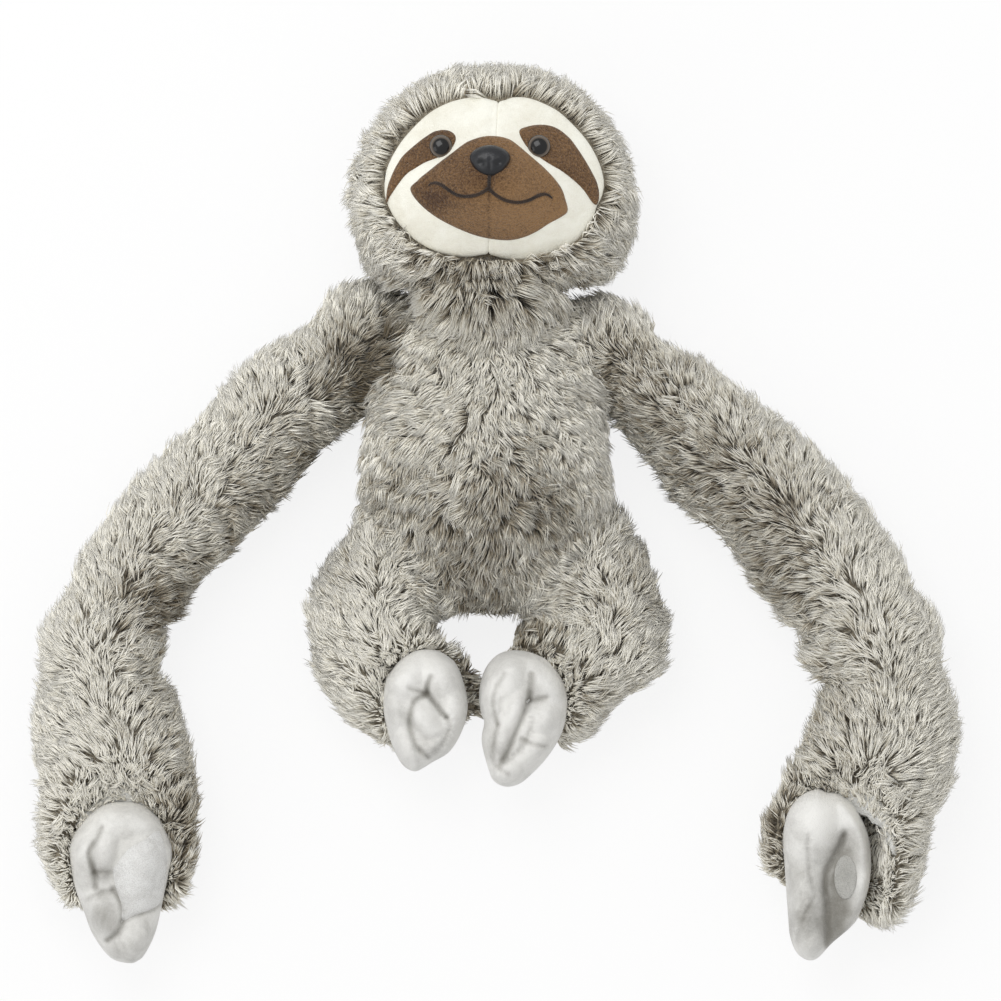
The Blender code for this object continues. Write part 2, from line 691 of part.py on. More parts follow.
def fit_stud(name, place, stud, reach, panel, filling, finishes):
    """Fit an eye or the nose through the cloth, with a washer behind it."""
    frame = seat_frame(place, reach, 0.0, True)
    item = add_object(name, stud(frame), finishes[0], NECK_CENTRE)
    behind = seat_frame(place, WASHER_RADIUS, -CLOTH, False)
    add_object(name + "_washer", washer(behind), finishes[1], NECK_CENTRE)
    stem = add_cutter(name + "_stem", rod(frame, STEM_RADIUS + GAP, -STEM_LENGTH - GAP, GAP))
    shape_with(panel, stem)
    floor = -WASHER_THICKNESS - GAP
    deep = -STEM_LENGTH - GAP
    pocket = turned(((0.0, deep), (STEM_RADIUS + GAP, deep), (STEM_RADIUS + GAP, floor),
                     (WASHER_RADIUS + GAP, floor), (WASHER_RADIUS + GAP, EYE_RISE),
                     (0.0, EYE_RISE)), behind)
    shape_with(filling, add_cutter(name + "_pocket", pocket))
    return item


def nose_form(frame):
    """A rounded triangular nose, wider at the top, on a stem."""
    form = turned(stud_profile(NOSE_HALF_LENGTH, NOSE_RISE), frame)
    back = frame.inverted()
    for vert in form.verts:
        local = back @ vert.co
        if local.z > NOSE_RISE * NOSE_BACK_SHARE:
            flare = 1.0 + NOSE_FLARE_SHARE * local.y / NOSE_HALF_LENGTH
            local.x *= flare * NOSE_HALF_WIDTH / NOSE_HALF_LENGTH
            vert.co = frame @ local
    return form


def make_features(pieces, filling, finishes):
    """Eyes, nose, washers and the stitched mouth."""
    for name, side in (("right", -1), ("left", 1)):
        fit_stud("eye_" + name, eye_centre(side),
                 lambda frame: turned(stud_profile(EYE_RADIUS, EYE_RISE), frame),
                 EYE_RADIUS, pieces["eye_patch_" + name], filling, finishes)
    nose_place = Vector((MUZZLE_CENTRE.x, FACE_CENTRE.y + NOSE_UP))
    fit_stud("nose", nose_place, nose_form, NOSE_HALF_WIDTH, pieces["muzzle_panel"], filling,
             finishes)


def make_mouth(material):
    """The stitched smile and the short line above it."""
    points = [MUZZLE_CENTRE + Vector((MUZZLE_HALF_WIDTH * across, MUZZLE_HALF_LENGTH * along))
              for across, along in SMILE_SHARES]
    thread("smile_stitching", smooth_line(points, 2), material)
    across = MUZZLE_CENTRE.x
    high, low = (MUZZLE_CENTRE.y + MUZZLE_HALF_LENGTH * share for share in PHILTRUM_SHARES)
    drop = (high - low) / PHILTRUM_STEPS
    line = [Vector((across, high - drop * step)) for step in range(PHILTRUM_STEPS + 1)]
    thread("philtrum_stitching", line, material)


def arm_route(side, headings):
    """Start, route and joints of one arm, as a function of distance along it."""
    length = UPPER_ARM_LENGTH + FOREARM_LENGTH
    start = Vector((side * TORSO_HALF_WIDTH * SHOULDER_OUT_SHARE, TORSO_TOP - SHOULDER_DOWN))
    turns = headings if side < 0 else mirrored_headings(headings)
    return start, lambda distance: path_place(start, turns, length, distance)


def upper_arm_rows():
    """Rows of the upper arm, down to the cup that the forearm turns in."""
    relief = math.radians(BEND_RELIEF_DEGREES)
    back, share = CUP_RIM_SHARES
    rows = lying_rows(UPPER_ARM_ROWS_SHARES, ARM_HALF_DEPTH)
    for distance, radius in ((ELBOW_RADIUS * math.sin(relief), ELBOW_RADIUS * math.cos(relief)),
                             (ELBOW_RADIUS * back, ELBOW_RADIUS * share)):
        rows.append((1.0 - distance / UPPER_ARM_LENGTH, radius / ARM_HALF_WIDTH,
                     radius / ARM_HALF_DEPTH, ELBOW_HEIGHT))
    return rows


def make_arm(name, side, headings, furry, velour, patch_finish):
    """Upper arm, forearm and paw of one side, each a stuffed cover."""
    start, route = arm_route(side, headings)
    elbow, elbow_heading = route(UPPER_ARM_LENGTH)
    elbow_place = Vector((elbow.x, elbow.y, ELBOW_HEIGHT))
    upper = limb_form(route, SHOULDER_RADIUS, SHOULDER_HEIGHT, SHOULDER_RELIEF_DEGREES,
                      upper_arm_rows(), (UPPER_ARM_LENGTH, ARM_HALF_WIDTH, ARM_HALF_DEPTH),
                      (UPPER_ARM_LENGTH, ELBOW_HEIGHT), LIMB_FINENESS)
    stuffed("upper_arm_" + name, upper, FUR_WALL, furry, (start.x, start.y, SHOULDER_HEIGHT),
            (socket("elbow_" + name, elbow_place, ELBOW_RADIUS),))

    def lower_route(distance):
        """Route of the forearm from the elbow."""
        if distance < 0.0:
            forward = Vector((math.cos(elbow_heading), math.sin(elbow_heading)))
            return elbow + forward * distance, elbow_heading
        return route(UPPER_ARM_LENGTH + distance)

    wrist, heading = lower_route(FOREARM_LENGTH * WRIST_SHARE)
    wrist_place = Vector((wrist.x, wrist.y, WRIST_HEIGHT))
    paw_shape = (wrist_place, heading, WRIST_RADIUS, PAW_ROWS_SHARES,
                 (PAW_LENGTH, PAW_HALF_WIDTH, PAW_HALF_DEPTH))
    rows = lying_rows(FOREARM_ROWS_SHARES, CUFF_HALF_DEPTH)
    lower = limb_form(lower_route, ELBOW_RADIUS, ELBOW_HEIGHT, BEND_RELIEF_DEGREES, rows,
                      (FOREARM_LENGTH, CUFF_HALF_WIDTH, CUFF_HALF_DEPTH),
                      (FOREARM_LENGTH, CUFF_HALF_DEPTH * FOREARM_TIP_HEIGHT_SHARE), LIMB_FINENESS)
    stuffed("forearm_" + name, lower, FUR_WALL, furry, elbow_place,
            (end_socket("wrist_" + name, *paw_shape, WRIST_LIFT_DEGREES),))
    make_paw(name, end_form(*paw_shape), wrist_place, heading, velour, patch_finish)


def end_form(centre, heading, radius, rows, sizes):
    """A paw or foot that starts as a ball on its joint and runs out level."""
    forward = Vector((math.cos(heading), math.sin(heading)))
    return limb_form(lambda distance: (centre.xy + forward * distance, heading), radius, centre.z,
                     0.0, level_rows(rows, centre.z), sizes, (sizes[0], centre.z), END_FINENESS)


def lifted_space(form, centre, heading, lift_degrees):
    """The space that a form takes up as it lifts about a level line through its joint."""
    axis = Vector((math.sin(heading), -math.cos(heading), 0.0))
    space = bmesh.new()
    for step in range(LIFT_STEPS + 1):
        turn = Matrix.Rotation(math.radians(lift_degrees) * step / LIFT_STEPS, 3, axis)
        for vert in form.verts:
            space.verts.new(centre + turn @ (vert.co - centre))
    bmesh.ops.remove_doubles(space, verts=space.verts, dist=GAP)
    bmesh.ops.convex_hull(space, input=space.verts)
    bmesh.ops.delete(space, geom=[vert for vert in space.verts if not vert.link_faces], context="VERTS")
    bmesh.ops.recalc_face_normals(space, faces=space.faces)
    return space


def end_socket(name, centre, heading, radius, rows, sizes, lift_degrees):
    """The space that a paw or foot lies in and lifts out of."""
    forward = Vector((math.cos(heading), math.sin(heading)))
    sides, steps = SOCKET_FINENESS
    flats = math.cos(math.pi / sides) * math.cos(math.pi / (4 * steps))
    wider = [size + SOCKET_GAP for size in sizes]
    form = limb_form(lambda distance: (centre.xy + forward * distance, heading),
                     (radius + GAP) / flats, centre.z, 0.0, level_rows(rows, centre.z), wider,
                     (wider[0], centre.z), SOCKET_FINENESS)
    return add_cutter(name + "_socket", lifted_space(form, centre, heading, lift_degrees))


def make_paw(name, form, wrist_place, heading, velour, patch_finish):
    """Velour paw with a flat palm, its filling and the fastener patch on the palm."""
    palm = wrist_place.z + PALM_RISE
    forward = Vector((math.cos(heading), math.sin(heading), 0.0))
    seam = seam_opening("paw_" + name, wrist_place, forward, WRIST_RADIUS)
    layers = [sliced(swelled(form, -inset), (0.0, 0.0, palm - inset), UP)
              for inset in (0.0, VELOUR_WALL, VELOUR_WALL + FILLING_GAP)]
    cover = add_object("paw_" + name + "_cover", layers[0], velour[0], wrist_place)
    shape_with(cover, add_cutter("paw_" + name + "_hollow", layers[1]))
    shape_with(cover, seam)
    add_object("paw_" + name + "_stuffing", layers[2], velour[1], wrist_place)
    middle = wrist_place + forward * (PAW_LENGTH * PALM_PATCH_ALONG_SHARE)
    side = Vector((forward.y, -forward.x, 0.0))
    outline = [middle + side * (PALM_PATCH_HALF_WIDTH * across) - forward * (PALM_PATCH_HALF_LENGTH * up)
               for across, up in PALM_PATCH_SHARES]
    add_object("palm_patch_" + name, plate(outline, palm + GAP, palm + GAP + PALM_PATCH_THICKNESS),
               patch_finish, wrist_place)


def plate(outline, low, high):
    """An upright-walled plate over an outline in plan."""
    form = bmesh.new()
    under = [form.verts.new((point.x, point.y, low)) for point in outline]
    over = [form.verts.new((point.x, point.y, high)) for point in outline]
    form.faces.new(under)
    form.faces.new(over)
    for index in range(len(outline)):
        beside = (index + 1) % len(outline)
        form.faces.new((under[index], under[beside], over[beside], over[index]))
    bmesh.ops.recalc_face_normals(form, faces=form.faces)
    return form


def seam_opening(name, centre, forward, radius):
    """The hole at the back of a paw or foot cover, where it is filled and sewn in."""
    turn = (-forward).to_track_quat("Z", "Y").to_matrix().to_4x4()
    frame = Matrix.Translation(centre) @ turn @ Matrix.Rotation(math.pi / TURNED_STEPS, 4, "Z")
    return add_cutter(name + "_seam", rod(frame, radius * SEAM_OPENING_SHARE,
                                          radius * SEAM_DEPTH_SHARE, radius + OVERRUN))


def make_leg(name, side, ankle, foot_heading, furry, velour):
    """A leg that bends in front of the body, and its foot."""
    start = Vector((side * TORSO_HALF_WIDTH * HIP_OUT_SHARE, TORSO_BOTTOM + TORSO_LENGTH * HIP_UP_SHARE))
    turns = LEG_HEADINGS if side < 0 else mirrored_headings(LEG_HEADINGS)
    rows = lying_rows(LEG_ROWS_SHARES, LEG_HALF_DEPTH)
    form = limb_form(lambda distance: path_place(start, turns, LEG_LENGTH, distance), HIP_RADIUS,
                     HIP_HEIGHT, HIP_RELIEF_DEGREES, rows,
                     (LEG_LENGTH, LEG_HALF_WIDTH, LEG_HALF_DEPTH),
                     (LEG_LENGTH, LEG_HALF_DEPTH * LEG_TIP_HEIGHT_SHARE), LIMB_FINENESS)
    heading = math.radians(foot_heading)
    forward = Vector((math.cos(heading), math.sin(heading), 0.0))
    ankle_place = Vector((ankle[0], ankle[1], ANKLE_HEIGHT))
    foot_shape = (ankle_place, heading, ANKLE_RADIUS, FOOT_ROWS_SHARES,
                  (FOOT_LENGTH, FOOT_HALF_WIDTH, FOOT_HALF_DEPTH))
    stuffed("leg_" + name, form, FUR_WALL, furry, Vector((start.x, start.y, HIP_HEIGHT)),
            (end_socket("ankle_" + name, *foot_shape, ANKLE_LIFT_DEGREES),))
    cover, _ = stuffed("foot_" + name, end_form(*foot_shape), VELOUR_WALL, velour, ankle_place, (),
                       flat=False)
    shape_with(cover, seam_opening("foot_" + name, ankle_place, forward, ANKLE_RADIUS))


def torso_sockets():
    """Balls that hollow the torso where the neck, arms and legs join it."""
    shoulder = TORSO_HALF_WIDTH * SHOULDER_OUT_SHARE
    hip = TORSO_HALF_WIDTH * HIP_OUT_SHARE
    places = [("neck", NECK_CENTRE, NECK_RADIUS)]
    for name, side in (("right", -1), ("left", 1)):
        places.append(("shoulder_" + name, Vector((side * shoulder, TORSO_TOP - SHOULDER_DOWN,
                                                   SHOULDER_HEIGHT)), SHOULDER_RADIUS))
        places.append(("hip_" + name, Vector((side * hip, TORSO_BOTTOM + TORSO_LENGTH * HIP_UP_SHARE,
                                              HIP_HEIGHT)), HIP_RADIUS))
    return [socket(name, place, radius) for name, place, radius in places]


def main():
    """Build the toy."""
    clear_scene()
    fur = finish("grey_fur", FUR_COLOUR, CLOTH_ROUGHNESS)
    filling = finish("fibre_filling", FILLING_COLOUR, CLOTH_ROUGHNESS)
    cream = finish("cream_plush", CREAM_COLOUR, CLOTH_ROUGHNESS)
    brown = finish("brown_velour", BROWN_COLOUR, CLOTH_ROUGHNESS)
    velour = finish("grey_velour", VELOUR_COLOUR, CLOTH_ROUGHNESS)
    fastener = finish("fastener_patch", PATCH_COLOUR, CLOTH_ROUGHNESS)
    black = finish("black_plastic", BLACK_COLOUR, GLOSS_ROUGHNESS)
    white = finish("white_plastic", WHITE_COLOUR, PLASTIC_ROUGHNESS)
    thread_finish = finish("dark_thread", THREAD_COLOUR, CLOTH_ROUGHNESS)
    furry, soft = (fur, filling), (velour, filling)
    make_torso(furry, torso_sockets())
    make_neck(filling)
    head_filling = make_head(furry)
    pieces = make_face(cream, brown)
    make_features(pieces, head_filling, (black, white))
    make_mouth(thread_finish)
    make_arm("right", -1, RIGHT_ARM_HEADINGS, furry, soft, fastener)
    make_arm("left", 1, LEFT_ARM_HEADINGS, furry, soft, fastener)
    make_leg("right", -1, RIGHT_ANKLE, RIGHT_FOOT_HEADING, furry, soft)
    make_leg("left", 1, LEFT_ANKLE, LEFT_FOOT_HEADING, furry, soft)


main()
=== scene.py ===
"""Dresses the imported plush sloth: long frosted fur, a sewn face, soft paws and feet, floor and light.

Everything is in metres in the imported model's own frame. The toy lies on its back, so +Z is its front,
+Y is towards its head and -X is its own right side.
"""
import logging
import math
from dataclasses import dataclass, field
from enum import Enum
from typing import Callable, Sequence

import bpy
import numpy as np
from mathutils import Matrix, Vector, kdtree
from mathutils.bvhtree import BVHTree
from mathutils.geometry import delaunay_2d_cdt


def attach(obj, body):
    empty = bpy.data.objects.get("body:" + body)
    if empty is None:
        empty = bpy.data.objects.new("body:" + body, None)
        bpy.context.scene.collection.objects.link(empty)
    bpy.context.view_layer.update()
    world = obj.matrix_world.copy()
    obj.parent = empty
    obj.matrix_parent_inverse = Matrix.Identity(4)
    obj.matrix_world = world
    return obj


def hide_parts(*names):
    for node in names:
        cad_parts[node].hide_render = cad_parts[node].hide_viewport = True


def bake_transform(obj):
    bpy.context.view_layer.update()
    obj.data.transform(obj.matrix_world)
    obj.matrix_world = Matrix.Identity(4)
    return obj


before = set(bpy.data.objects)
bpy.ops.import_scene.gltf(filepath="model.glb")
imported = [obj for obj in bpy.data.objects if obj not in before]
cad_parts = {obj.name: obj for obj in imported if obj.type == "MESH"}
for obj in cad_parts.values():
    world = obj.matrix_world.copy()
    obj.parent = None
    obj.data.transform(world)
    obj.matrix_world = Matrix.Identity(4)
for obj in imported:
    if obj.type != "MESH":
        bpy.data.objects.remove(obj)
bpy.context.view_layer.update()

Array = np.ndarray
Colour = tuple[int, int, int]
Points = Sequence[tuple[float, float]]
Socket = bpy.types.NodeSocket

LOG = logging.getLogger("plush_sloth")
MM = 0.001
TAU = 2.0 * math.pi


class Side(Enum):
    """The toy's own right and left."""

    RIGHT = "right"
    LEFT = "left"

    @property
    def sign(self) -> int:
        """The sign of X on this side."""
        return -1 if self is Side.RIGHT else 1

    @property
    def short(self) -> str:
        """The letter that ends a body's name."""
        return self.value[0]


class Gloss(Enum):
    """How plush catches light, as sheen weight and roughness."""

    DULL = (0.10, 0.95)
    SOFT = (0.22, 0.85)
    SILKY = (0.30, 0.70)

    @property
    def inputs(self) -> dict[str, float]:
        """The Principled shader's inputs for it."""
        return {"Sheen Weight": self.value[0], "Sheen Roughness": 0.5, "Roughness": self.value[1],
                "Specular IOR Level": 0.2}


# ---------------------------------------------------------------- small helpers


def rows(kind: type, *values: tuple) -> tuple:
    """Makes one item of a kind from each row of values."""
    return tuple(kind(*row) for row in values)


def unit(vectors: Array, least: float = 1e-6) -> Array:
    """Brings vectors to length one, where they are longer than the least."""
    return vectors / np.maximum(np.linalg.norm(vectors, axis=1), least)[:, None]


def along_skin(vectors: Array, normals: Array) -> Array:
    """Lays vectors flat on the skin and brings them to length one."""
    return unit(vectors - (vectors * normals).sum(1)[:, None] * normals)


def dome(share: Array) -> Array:
    """Gives a round shoulder's height, from 0 at the edge to 1 at a share of 1."""
    return np.sqrt(1 - (1 - np.clip(share, 0.0, 1.0)) ** 2)


def read(items: object, name: str, width: int = 3, kind: type = float) -> Array:
    """Reads one attribute of everything in a mesh's collection.

    Args:
        items: The collection.
        name: The attribute.
        width: Values in each item.
        kind: Their type.

    Returns:
        A row for each item.
    """
    values = np.empty(len(items) * width, kind)
    items.foreach_get(name, values)
    return values.reshape(-1, width)


def tube(start: int, rings: int, sides: int) -> list[tuple[int, ...]]:
    """Gives the faces between rings of corners that follow each other.

    Args:
        start: The first corner's number.
        rings: How many rings there are.
        sides: Corners of each ring.

    Returns:
        The corner numbers of each face.
    """
    found = []
    for ring in range(rings - 1):
        low = start + ring * sides
        for k in range(sides):
            n = (k + 1) % sides
            found.append((low + k, low + n, low + sides + n, low + sides + k))
    return found


@dataclass(frozen=True)
class Spot:
    """A round place with a soft edge, in millimetres."""

    x: float
    y: float
    reach: float

    def mask(self, places: Array) -> Array:
        """Gives 1 in the middle, falling off over the reach."""
        far = (places[:, 0] - self.x * MM) ** 2 + (places[:, 1] - self.y * MM) ** 2
        return np.exp(-far / (self.reach * MM) ** 2)


@dataclass(frozen=True)
class ToneAndShadeSpot(Spot):
    """A place where fur or velour is drawn paler or darker: some spots give the fur's own uneven tone,
    others painted light and shade.
    """

    change: float


@dataclass(frozen=True)
class Nudge(Spot):
    """A push of the stuffing at one place."""

    right: float
    up: float


def toned(tone: Array, places: Array, spots: Sequence[ToneAndShadeSpot]) -> Array:
    """Adds each spot's change to a tone."""
    for spot in spots:
        tone = tone + spot.change * spot.mask(places)
    return tone


def settle(places: Array, nudges: Sequence[Nudge]) -> Array:
    """Moves a skin's points as the stuffing lies in the photograph."""
    made = places.copy()
    for nudge in nudges:
        made[:, :2] += np.outer(nudge.mask(places) * MM, (nudge.right, nudge.up))
    return made


# ---------------------------------------------------------------- colours and shader groups


class Nodes:
    """Adds and joins shader nodes in one tree."""

    def __init__(self, tree: bpy.types.NodeTree) -> None:
        """Keeps the tree that nodes are added to."""
        self.tree = tree

    def feed(self, node: bpy.types.Node, feeds: dict) -> None:
        """Links a socket to each input named, or sets its value."""
        for name, value in feeds.items():
            if isinstance(value, Socket):
                self.tree.links.new(value, node.inputs[name])
            else:
                node.inputs[name].default_value = value

    def add(self, kind: str, feeds: dict | None = None, **values: object) -> bpy.types.Node:
        """Adds a node.

        Args:
            kind: The node's type name without its ShaderNode start.
            feeds: A socket or a value for each input.
            values: Properties to set on the node.

        Returns:
            The new node.
        """
        node = self.tree.nodes.new(kind if kind.startswith("Node") else "ShaderNode" + kind)
        for name, value in values.items():
            setattr(node, name, value)
        self.feed(node, feeds or {})
        return node

    def math(self, kind: str, first: object, second: object, clamp: bool = False) -> Socket:
        """Adds a Math node for two sockets or numbers and gives its result."""
        return self.add("Math", {0: first, 1: second}, operation=kind, use_clamp=clamp).outputs[0]

    def mix(self, first: Socket, share: float, second: Socket, other: float) -> Socket:
        """Adds up two values, each taken by its share."""
        return self.math("ADD", self.math("MULTIPLY", first, share), self.math("MULTIPLY", second, other))

    def ramp(self, source: Socket, *stops: tuple[float, Colour]) -> Socket:
        """Adds a colour ramp.

        Args:
            source: The value that drives it.
            stops: Place and 8 bit display colour of each stop.

        Returns:
            The colour socket.
        """
        node = self.add("ValToRGB", {0: source})
        node.color_ramp.interpolation = "EASE"
        elements = node.color_ramp.elements
        while len(elements) < len(stops):
            elements.new(0.5)
        for element, (place, colour) in zip(elements, stops):
            element.position = place
            element.color = (*(self.linear(value / 255.0) for value in colour), 1.0)
        return node.outputs[0]

    @staticmethod
    def linear(value: float) -> float:
        """Turns one display colour value into a linear one."""
        return value / 12.92 if value <= 0.04045 else ((value + 0.055) / 1.055) ** 2.4


class ShaderGroups:
    """The shader effects that more than one material uses, each built once."""

    def __init__(self) -> None:
        """Builds both groups."""
        self.pile = self._build_pile()
        self.mottle = self._build_mottle()

    @staticmethod
    def _begin(name: str, scales: dict[str, float], outputs: Sequence[str]) -> tuple[Nodes, dict]:
        """Starts a group.

        Args:
            name: Its name.
            scales: Its number inputs and their usual values.
            outputs: Its number outputs.

        Returns:
            Its nodes and its inputs' sockets.
        """
        tree = bpy.data.node_groups.new(name, "ShaderNodeTree")
        sockets = tree.interface
        sockets.new_socket(name="Vector", in_out="INPUT", socket_type="NodeSocketVector")
        for scale, value in scales.items():
            made = sockets.new_socket(name=scale, in_out="INPUT", socket_type="NodeSocketFloat")
            made.default_value = value
        for output in outputs:
            sockets.new_socket(name=output, in_out="OUTPUT", socket_type="NodeSocketFloat")
        nodes = Nodes(tree)
        return nodes, nodes.add("NodeGroupInput").outputs

    def _build_pile(self) -> bpy.types.NodeTree:
        """Builds the short pile: fine fibre tips over a soft nap."""
        nodes, given = self._begin("short_pile", {"Fibre Scale": 1400.0, "Nap Scale": 160.0},
                                   ("Mask", "Height"))
        fibre = nodes.add("TexNoise", {"Vector": given["Vector"], "Scale": given["Fibre Scale"],
                                       "Detail": 3.0, "Roughness": 0.65}).outputs[0]
        nap = nodes.add("TexNoise", {"Vector": given["Vector"], "Scale": given["Nap Scale"],
                                     "Detail": 4.0, "Distortion": 0.8}).outputs[0]
        nodes.add("NodeGroupOutput", {"Mask": nodes.mix(fibre, 0.55, nap, 0.45),
                                      "Height": nodes.mix(fibre, 0.7, nap, 0.6)})
        return nodes.tree

    def _build_mottle(self) -> bpy.types.NodeTree:
        """Builds the broad uneven tone of handled cloth."""
        nodes, given = self._begin("broad_mottle", {"Scale": 45.0}, ("Mask",))
        cloud = nodes.add("TexNoise", {"Vector": given["Vector"], "Scale": given["Scale"],
                                       "Detail": 5.0, "Roughness": 0.6, "Distortion": 0.5})
        spread = nodes.add("MapRange", {"Value": cloud.outputs[0], "From Min": 0.32, "From Max": 0.68})
        nodes.add("NodeGroupOutput", {"Mask": spread.outputs[0]})
        return nodes.tree


class Surface:
    """A material in the making, with its nodes and its object coordinates."""

    def __init__(self, name: str, groups: ShaderGroups) -> None:
        """Starts an empty material."""
        self.material = bpy.data.materials.new(name)
        self.material.use_nodes = True
        self.groups = groups
        self.nodes = Nodes(self.material.node_tree)
        self.place = self.nodes.add("TexCoord").outputs["Object"]

    def pile(self, fibre: float, nap: float) -> tuple[Socket, Socket]:
        """Places the short pile at two scales and gives its mask and height."""
        node = self.nodes.add("Group", {"Vector": self.place, "Fibre Scale": fibre, "Nap Scale": nap},
                              node_tree=self.groups.pile)
        return node.outputs["Mask"], node.outputs["Height"]

    def mottle(self, scale: float) -> Socket:
        """Places the broad mottle and gives its mask."""
        return self.nodes.add("Group", {"Vector": self.place, "Scale": scale},
                              node_tree=self.groups.mottle).outputs["Mask"]

    def close(self, colour: Socket, values: dict[str, float], height: Socket | None = None,
              depth: float = 0.0) -> bpy.types.Material:
        """Feeds the Principled shader.

        Args:
            colour: The base colour.
            values: The shader's other inputs.
            height: What the bump follows.
            depth: The bump's depth in metres.

        Returns:
            The finished material.
        """
        feeds = {"Base Color": colour, **values}
        if height is not None:
            bump = self.nodes.add("Bump", {"Strength": 1.0, "Distance": depth, "Height": height})
            feeds["Normal"] = bump.outputs[0]
        self.nodes.feed(self.material.node_tree.nodes["Principled BSDF"], feeds)
        return self.material


@dataclass(frozen=True)
class FurFinish:
    """Long frosted pile: brown-grey roots and pale tips."""

    name: str = "frosted_grey_fur"
    root: Colour = (106, 95, 75)
    under: Colour = (166, 156, 137)
    middle: Colour = (228, 223, 209)
    tip: Colour = (255, 252, 242)
    height_share: float = 0.80
    tone_share: float = 0.9

    def build(self, groups: ShaderGroups) -> bpy.types.Material:
        """Builds the material from each strand's tone, which carries painted shade in places, and its
        height.
        """
        surface = Surface(self.name, groups)
        nodes = surface.nodes
        own = nodes.add("SeparateXYZ", {0: nodes.add("UVMap", uv_map="OFBake").outputs[0]}).outputs
        tone = nodes.math("MULTIPLY", nodes.math("SUBTRACT", own[0], 0.5), self.tone_share)
        place = nodes.math("ADD", nodes.math("MULTIPLY", own[1], self.height_share), tone, clamp=True)
        colour = nodes.ramp(place, (0.02, self.root), (0.22, self.under), (0.45, self.middle),
                            (0.74, self.tip))
        return surface.close(colour, Gloss.SOFT.inputs)


@dataclass(frozen=True)
class VelourFinish:
    """Short pile cloth with a soft uneven nap."""

    name: str
    dark: Colour
    light: Colour
    fibre_scale: float = 1500.0
    nap_scale: float = 190.0
    mottle_scale: float = 55.0
    depth: float = 0.0006
    gloss: Gloss = Gloss.SOFT
    mottle_share: float = 0.5
    spread: tuple[float, float] = (0.2, 0.75)
    nap_and_shade_share: float = 0.0

    def build(self, groups: ShaderGroups) -> bpy.types.Material:
        """Builds the cloth from the pile, the broad mottle and the piece's nap attribute, which carries
        painted light and shade.
        """
        surface = Surface(self.name, groups)
        nodes = surface.nodes
        place, height = surface.pile(self.fibre_scale, self.nap_scale)
        if self.mottle_share:
            place = nodes.mix(place, 1.0 - self.mottle_share, surface.mottle(self.mottle_scale),
                              self.mottle_share)
        if self.nap_and_shade_share:
            # The nap attribute holds painted shade in the folds and hollows of paws and feet, painted light
            # on their raised tops, and on the muzzle a paler and darker spread with painted shade below the
            # nose.
            nap = nodes.add("Attribute", attribute_name="nap").outputs["Fac"]
            place = nodes.mix(place, 1.0 - self.nap_and_shade_share, nap, self.nap_and_shade_share)
        colour = nodes.ramp(place, (self.spread[0], self.dark), (self.spread[1], self.light))
        return surface.close(colour, self.gloss.inputs, height, self.depth)


@dataclass(frozen=True)
class TapeFinish:
    """Looped fastener tape: a close even field of tiny loops."""

    name: str = "loop_tape"
    dark: Colour = (214, 213, 210)
    light: Colour = (240, 240, 238)
    loop_scale: float = 1500.0
    depth: float = 0.0004

    def build(self, groups: ShaderGroups) -> bpy.types.Material:
        """Builds the tape from round loops and a light mottle."""
        surface = Surface(self.name, groups)
        nodes = surface.nodes
        loops = nodes.add("TexVoronoi", {"Vector": surface.place, "Scale": self.loop_scale},
                          feature="F1").outputs["Distance"]
        colour = nodes.ramp(nodes.mix(loops, 0.5, surface.mottle(120.0), 0.4),
                            (0.1, self.light), (0.8, self.dark))
        return surface.close(colour, Gloss.DULL.inputs, nodes.math("MULTIPLY", loops, -1.0), self.depth)


@dataclass(frozen=True)
class EyeFinish:
    """A moulded eye: black pupil, thin brown-grey ring, black edge, clear gloss."""

    name: str
    centre: tuple[float, float]
    radius: float
    black: Colour = (12, 12, 13)
    pupil_edge: Colour = (14, 13, 13)
    ring_inside: Colour = (84, 75, 66)
    ring_outside: Colour = (106, 95, 84)
    rim: Colour = (30, 26, 24)

    def build(self, groups: ShaderGroups) -> bpy.types.Material:
        """Builds the rings from the distance to the eye's own centre."""
        surface = Surface(self.name, groups)
        nodes = surface.nodes
        place = nodes.add("Mapping", {"Vector": surface.place,
                                      "Location": (-self.centre[0], -self.centre[1], 0.0)})
        flat = nodes.add("VectorMath", {0: place.outputs[0], 1: (1.0, 1.0, 0.0)}, operation="MULTIPLY")
        length = nodes.add("VectorMath", {0: flat.outputs[0]}, operation="LENGTH")
        share = nodes.math("DIVIDE", length.outputs["Value"], self.radius)
        colour = nodes.ramp(share, (0.0, self.black), (0.66, self.pupil_edge), (0.74, self.ring_inside),
                            (0.86, self.ring_outside), (0.96, self.rim))
        return surface.close(colour, {"Roughness": 0.2, "Specular IOR Level": 0.3, "Coat Weight": 0.35,
                                      "Coat Roughness": 0.04})


@dataclass(frozen=True)
class MouldedFinish:
    """Moulded plastic with a faint grained surface."""

    name: str
    dark: Colour
    light: Colour
    roughness: float
    coat: float = 0.0
    grain_scale: float = 900.0
    depth: float = 0.00008

    def build(self, groups: ShaderGroups) -> bpy.types.Material:
        """Builds the plastic from a fine grain."""
        surface = Surface(self.name, groups)
        mask, height = surface.pile(self.grain_scale, self.grain_scale / 5.0)
        colour = surface.nodes.ramp(mask, (0.3, self.dark), (0.7, self.light))
        return surface.close(colour, {"Roughness": self.roughness, "Coat Weight": self.coat,
                                      "Coat Roughness": 0.15}, height, self.depth)


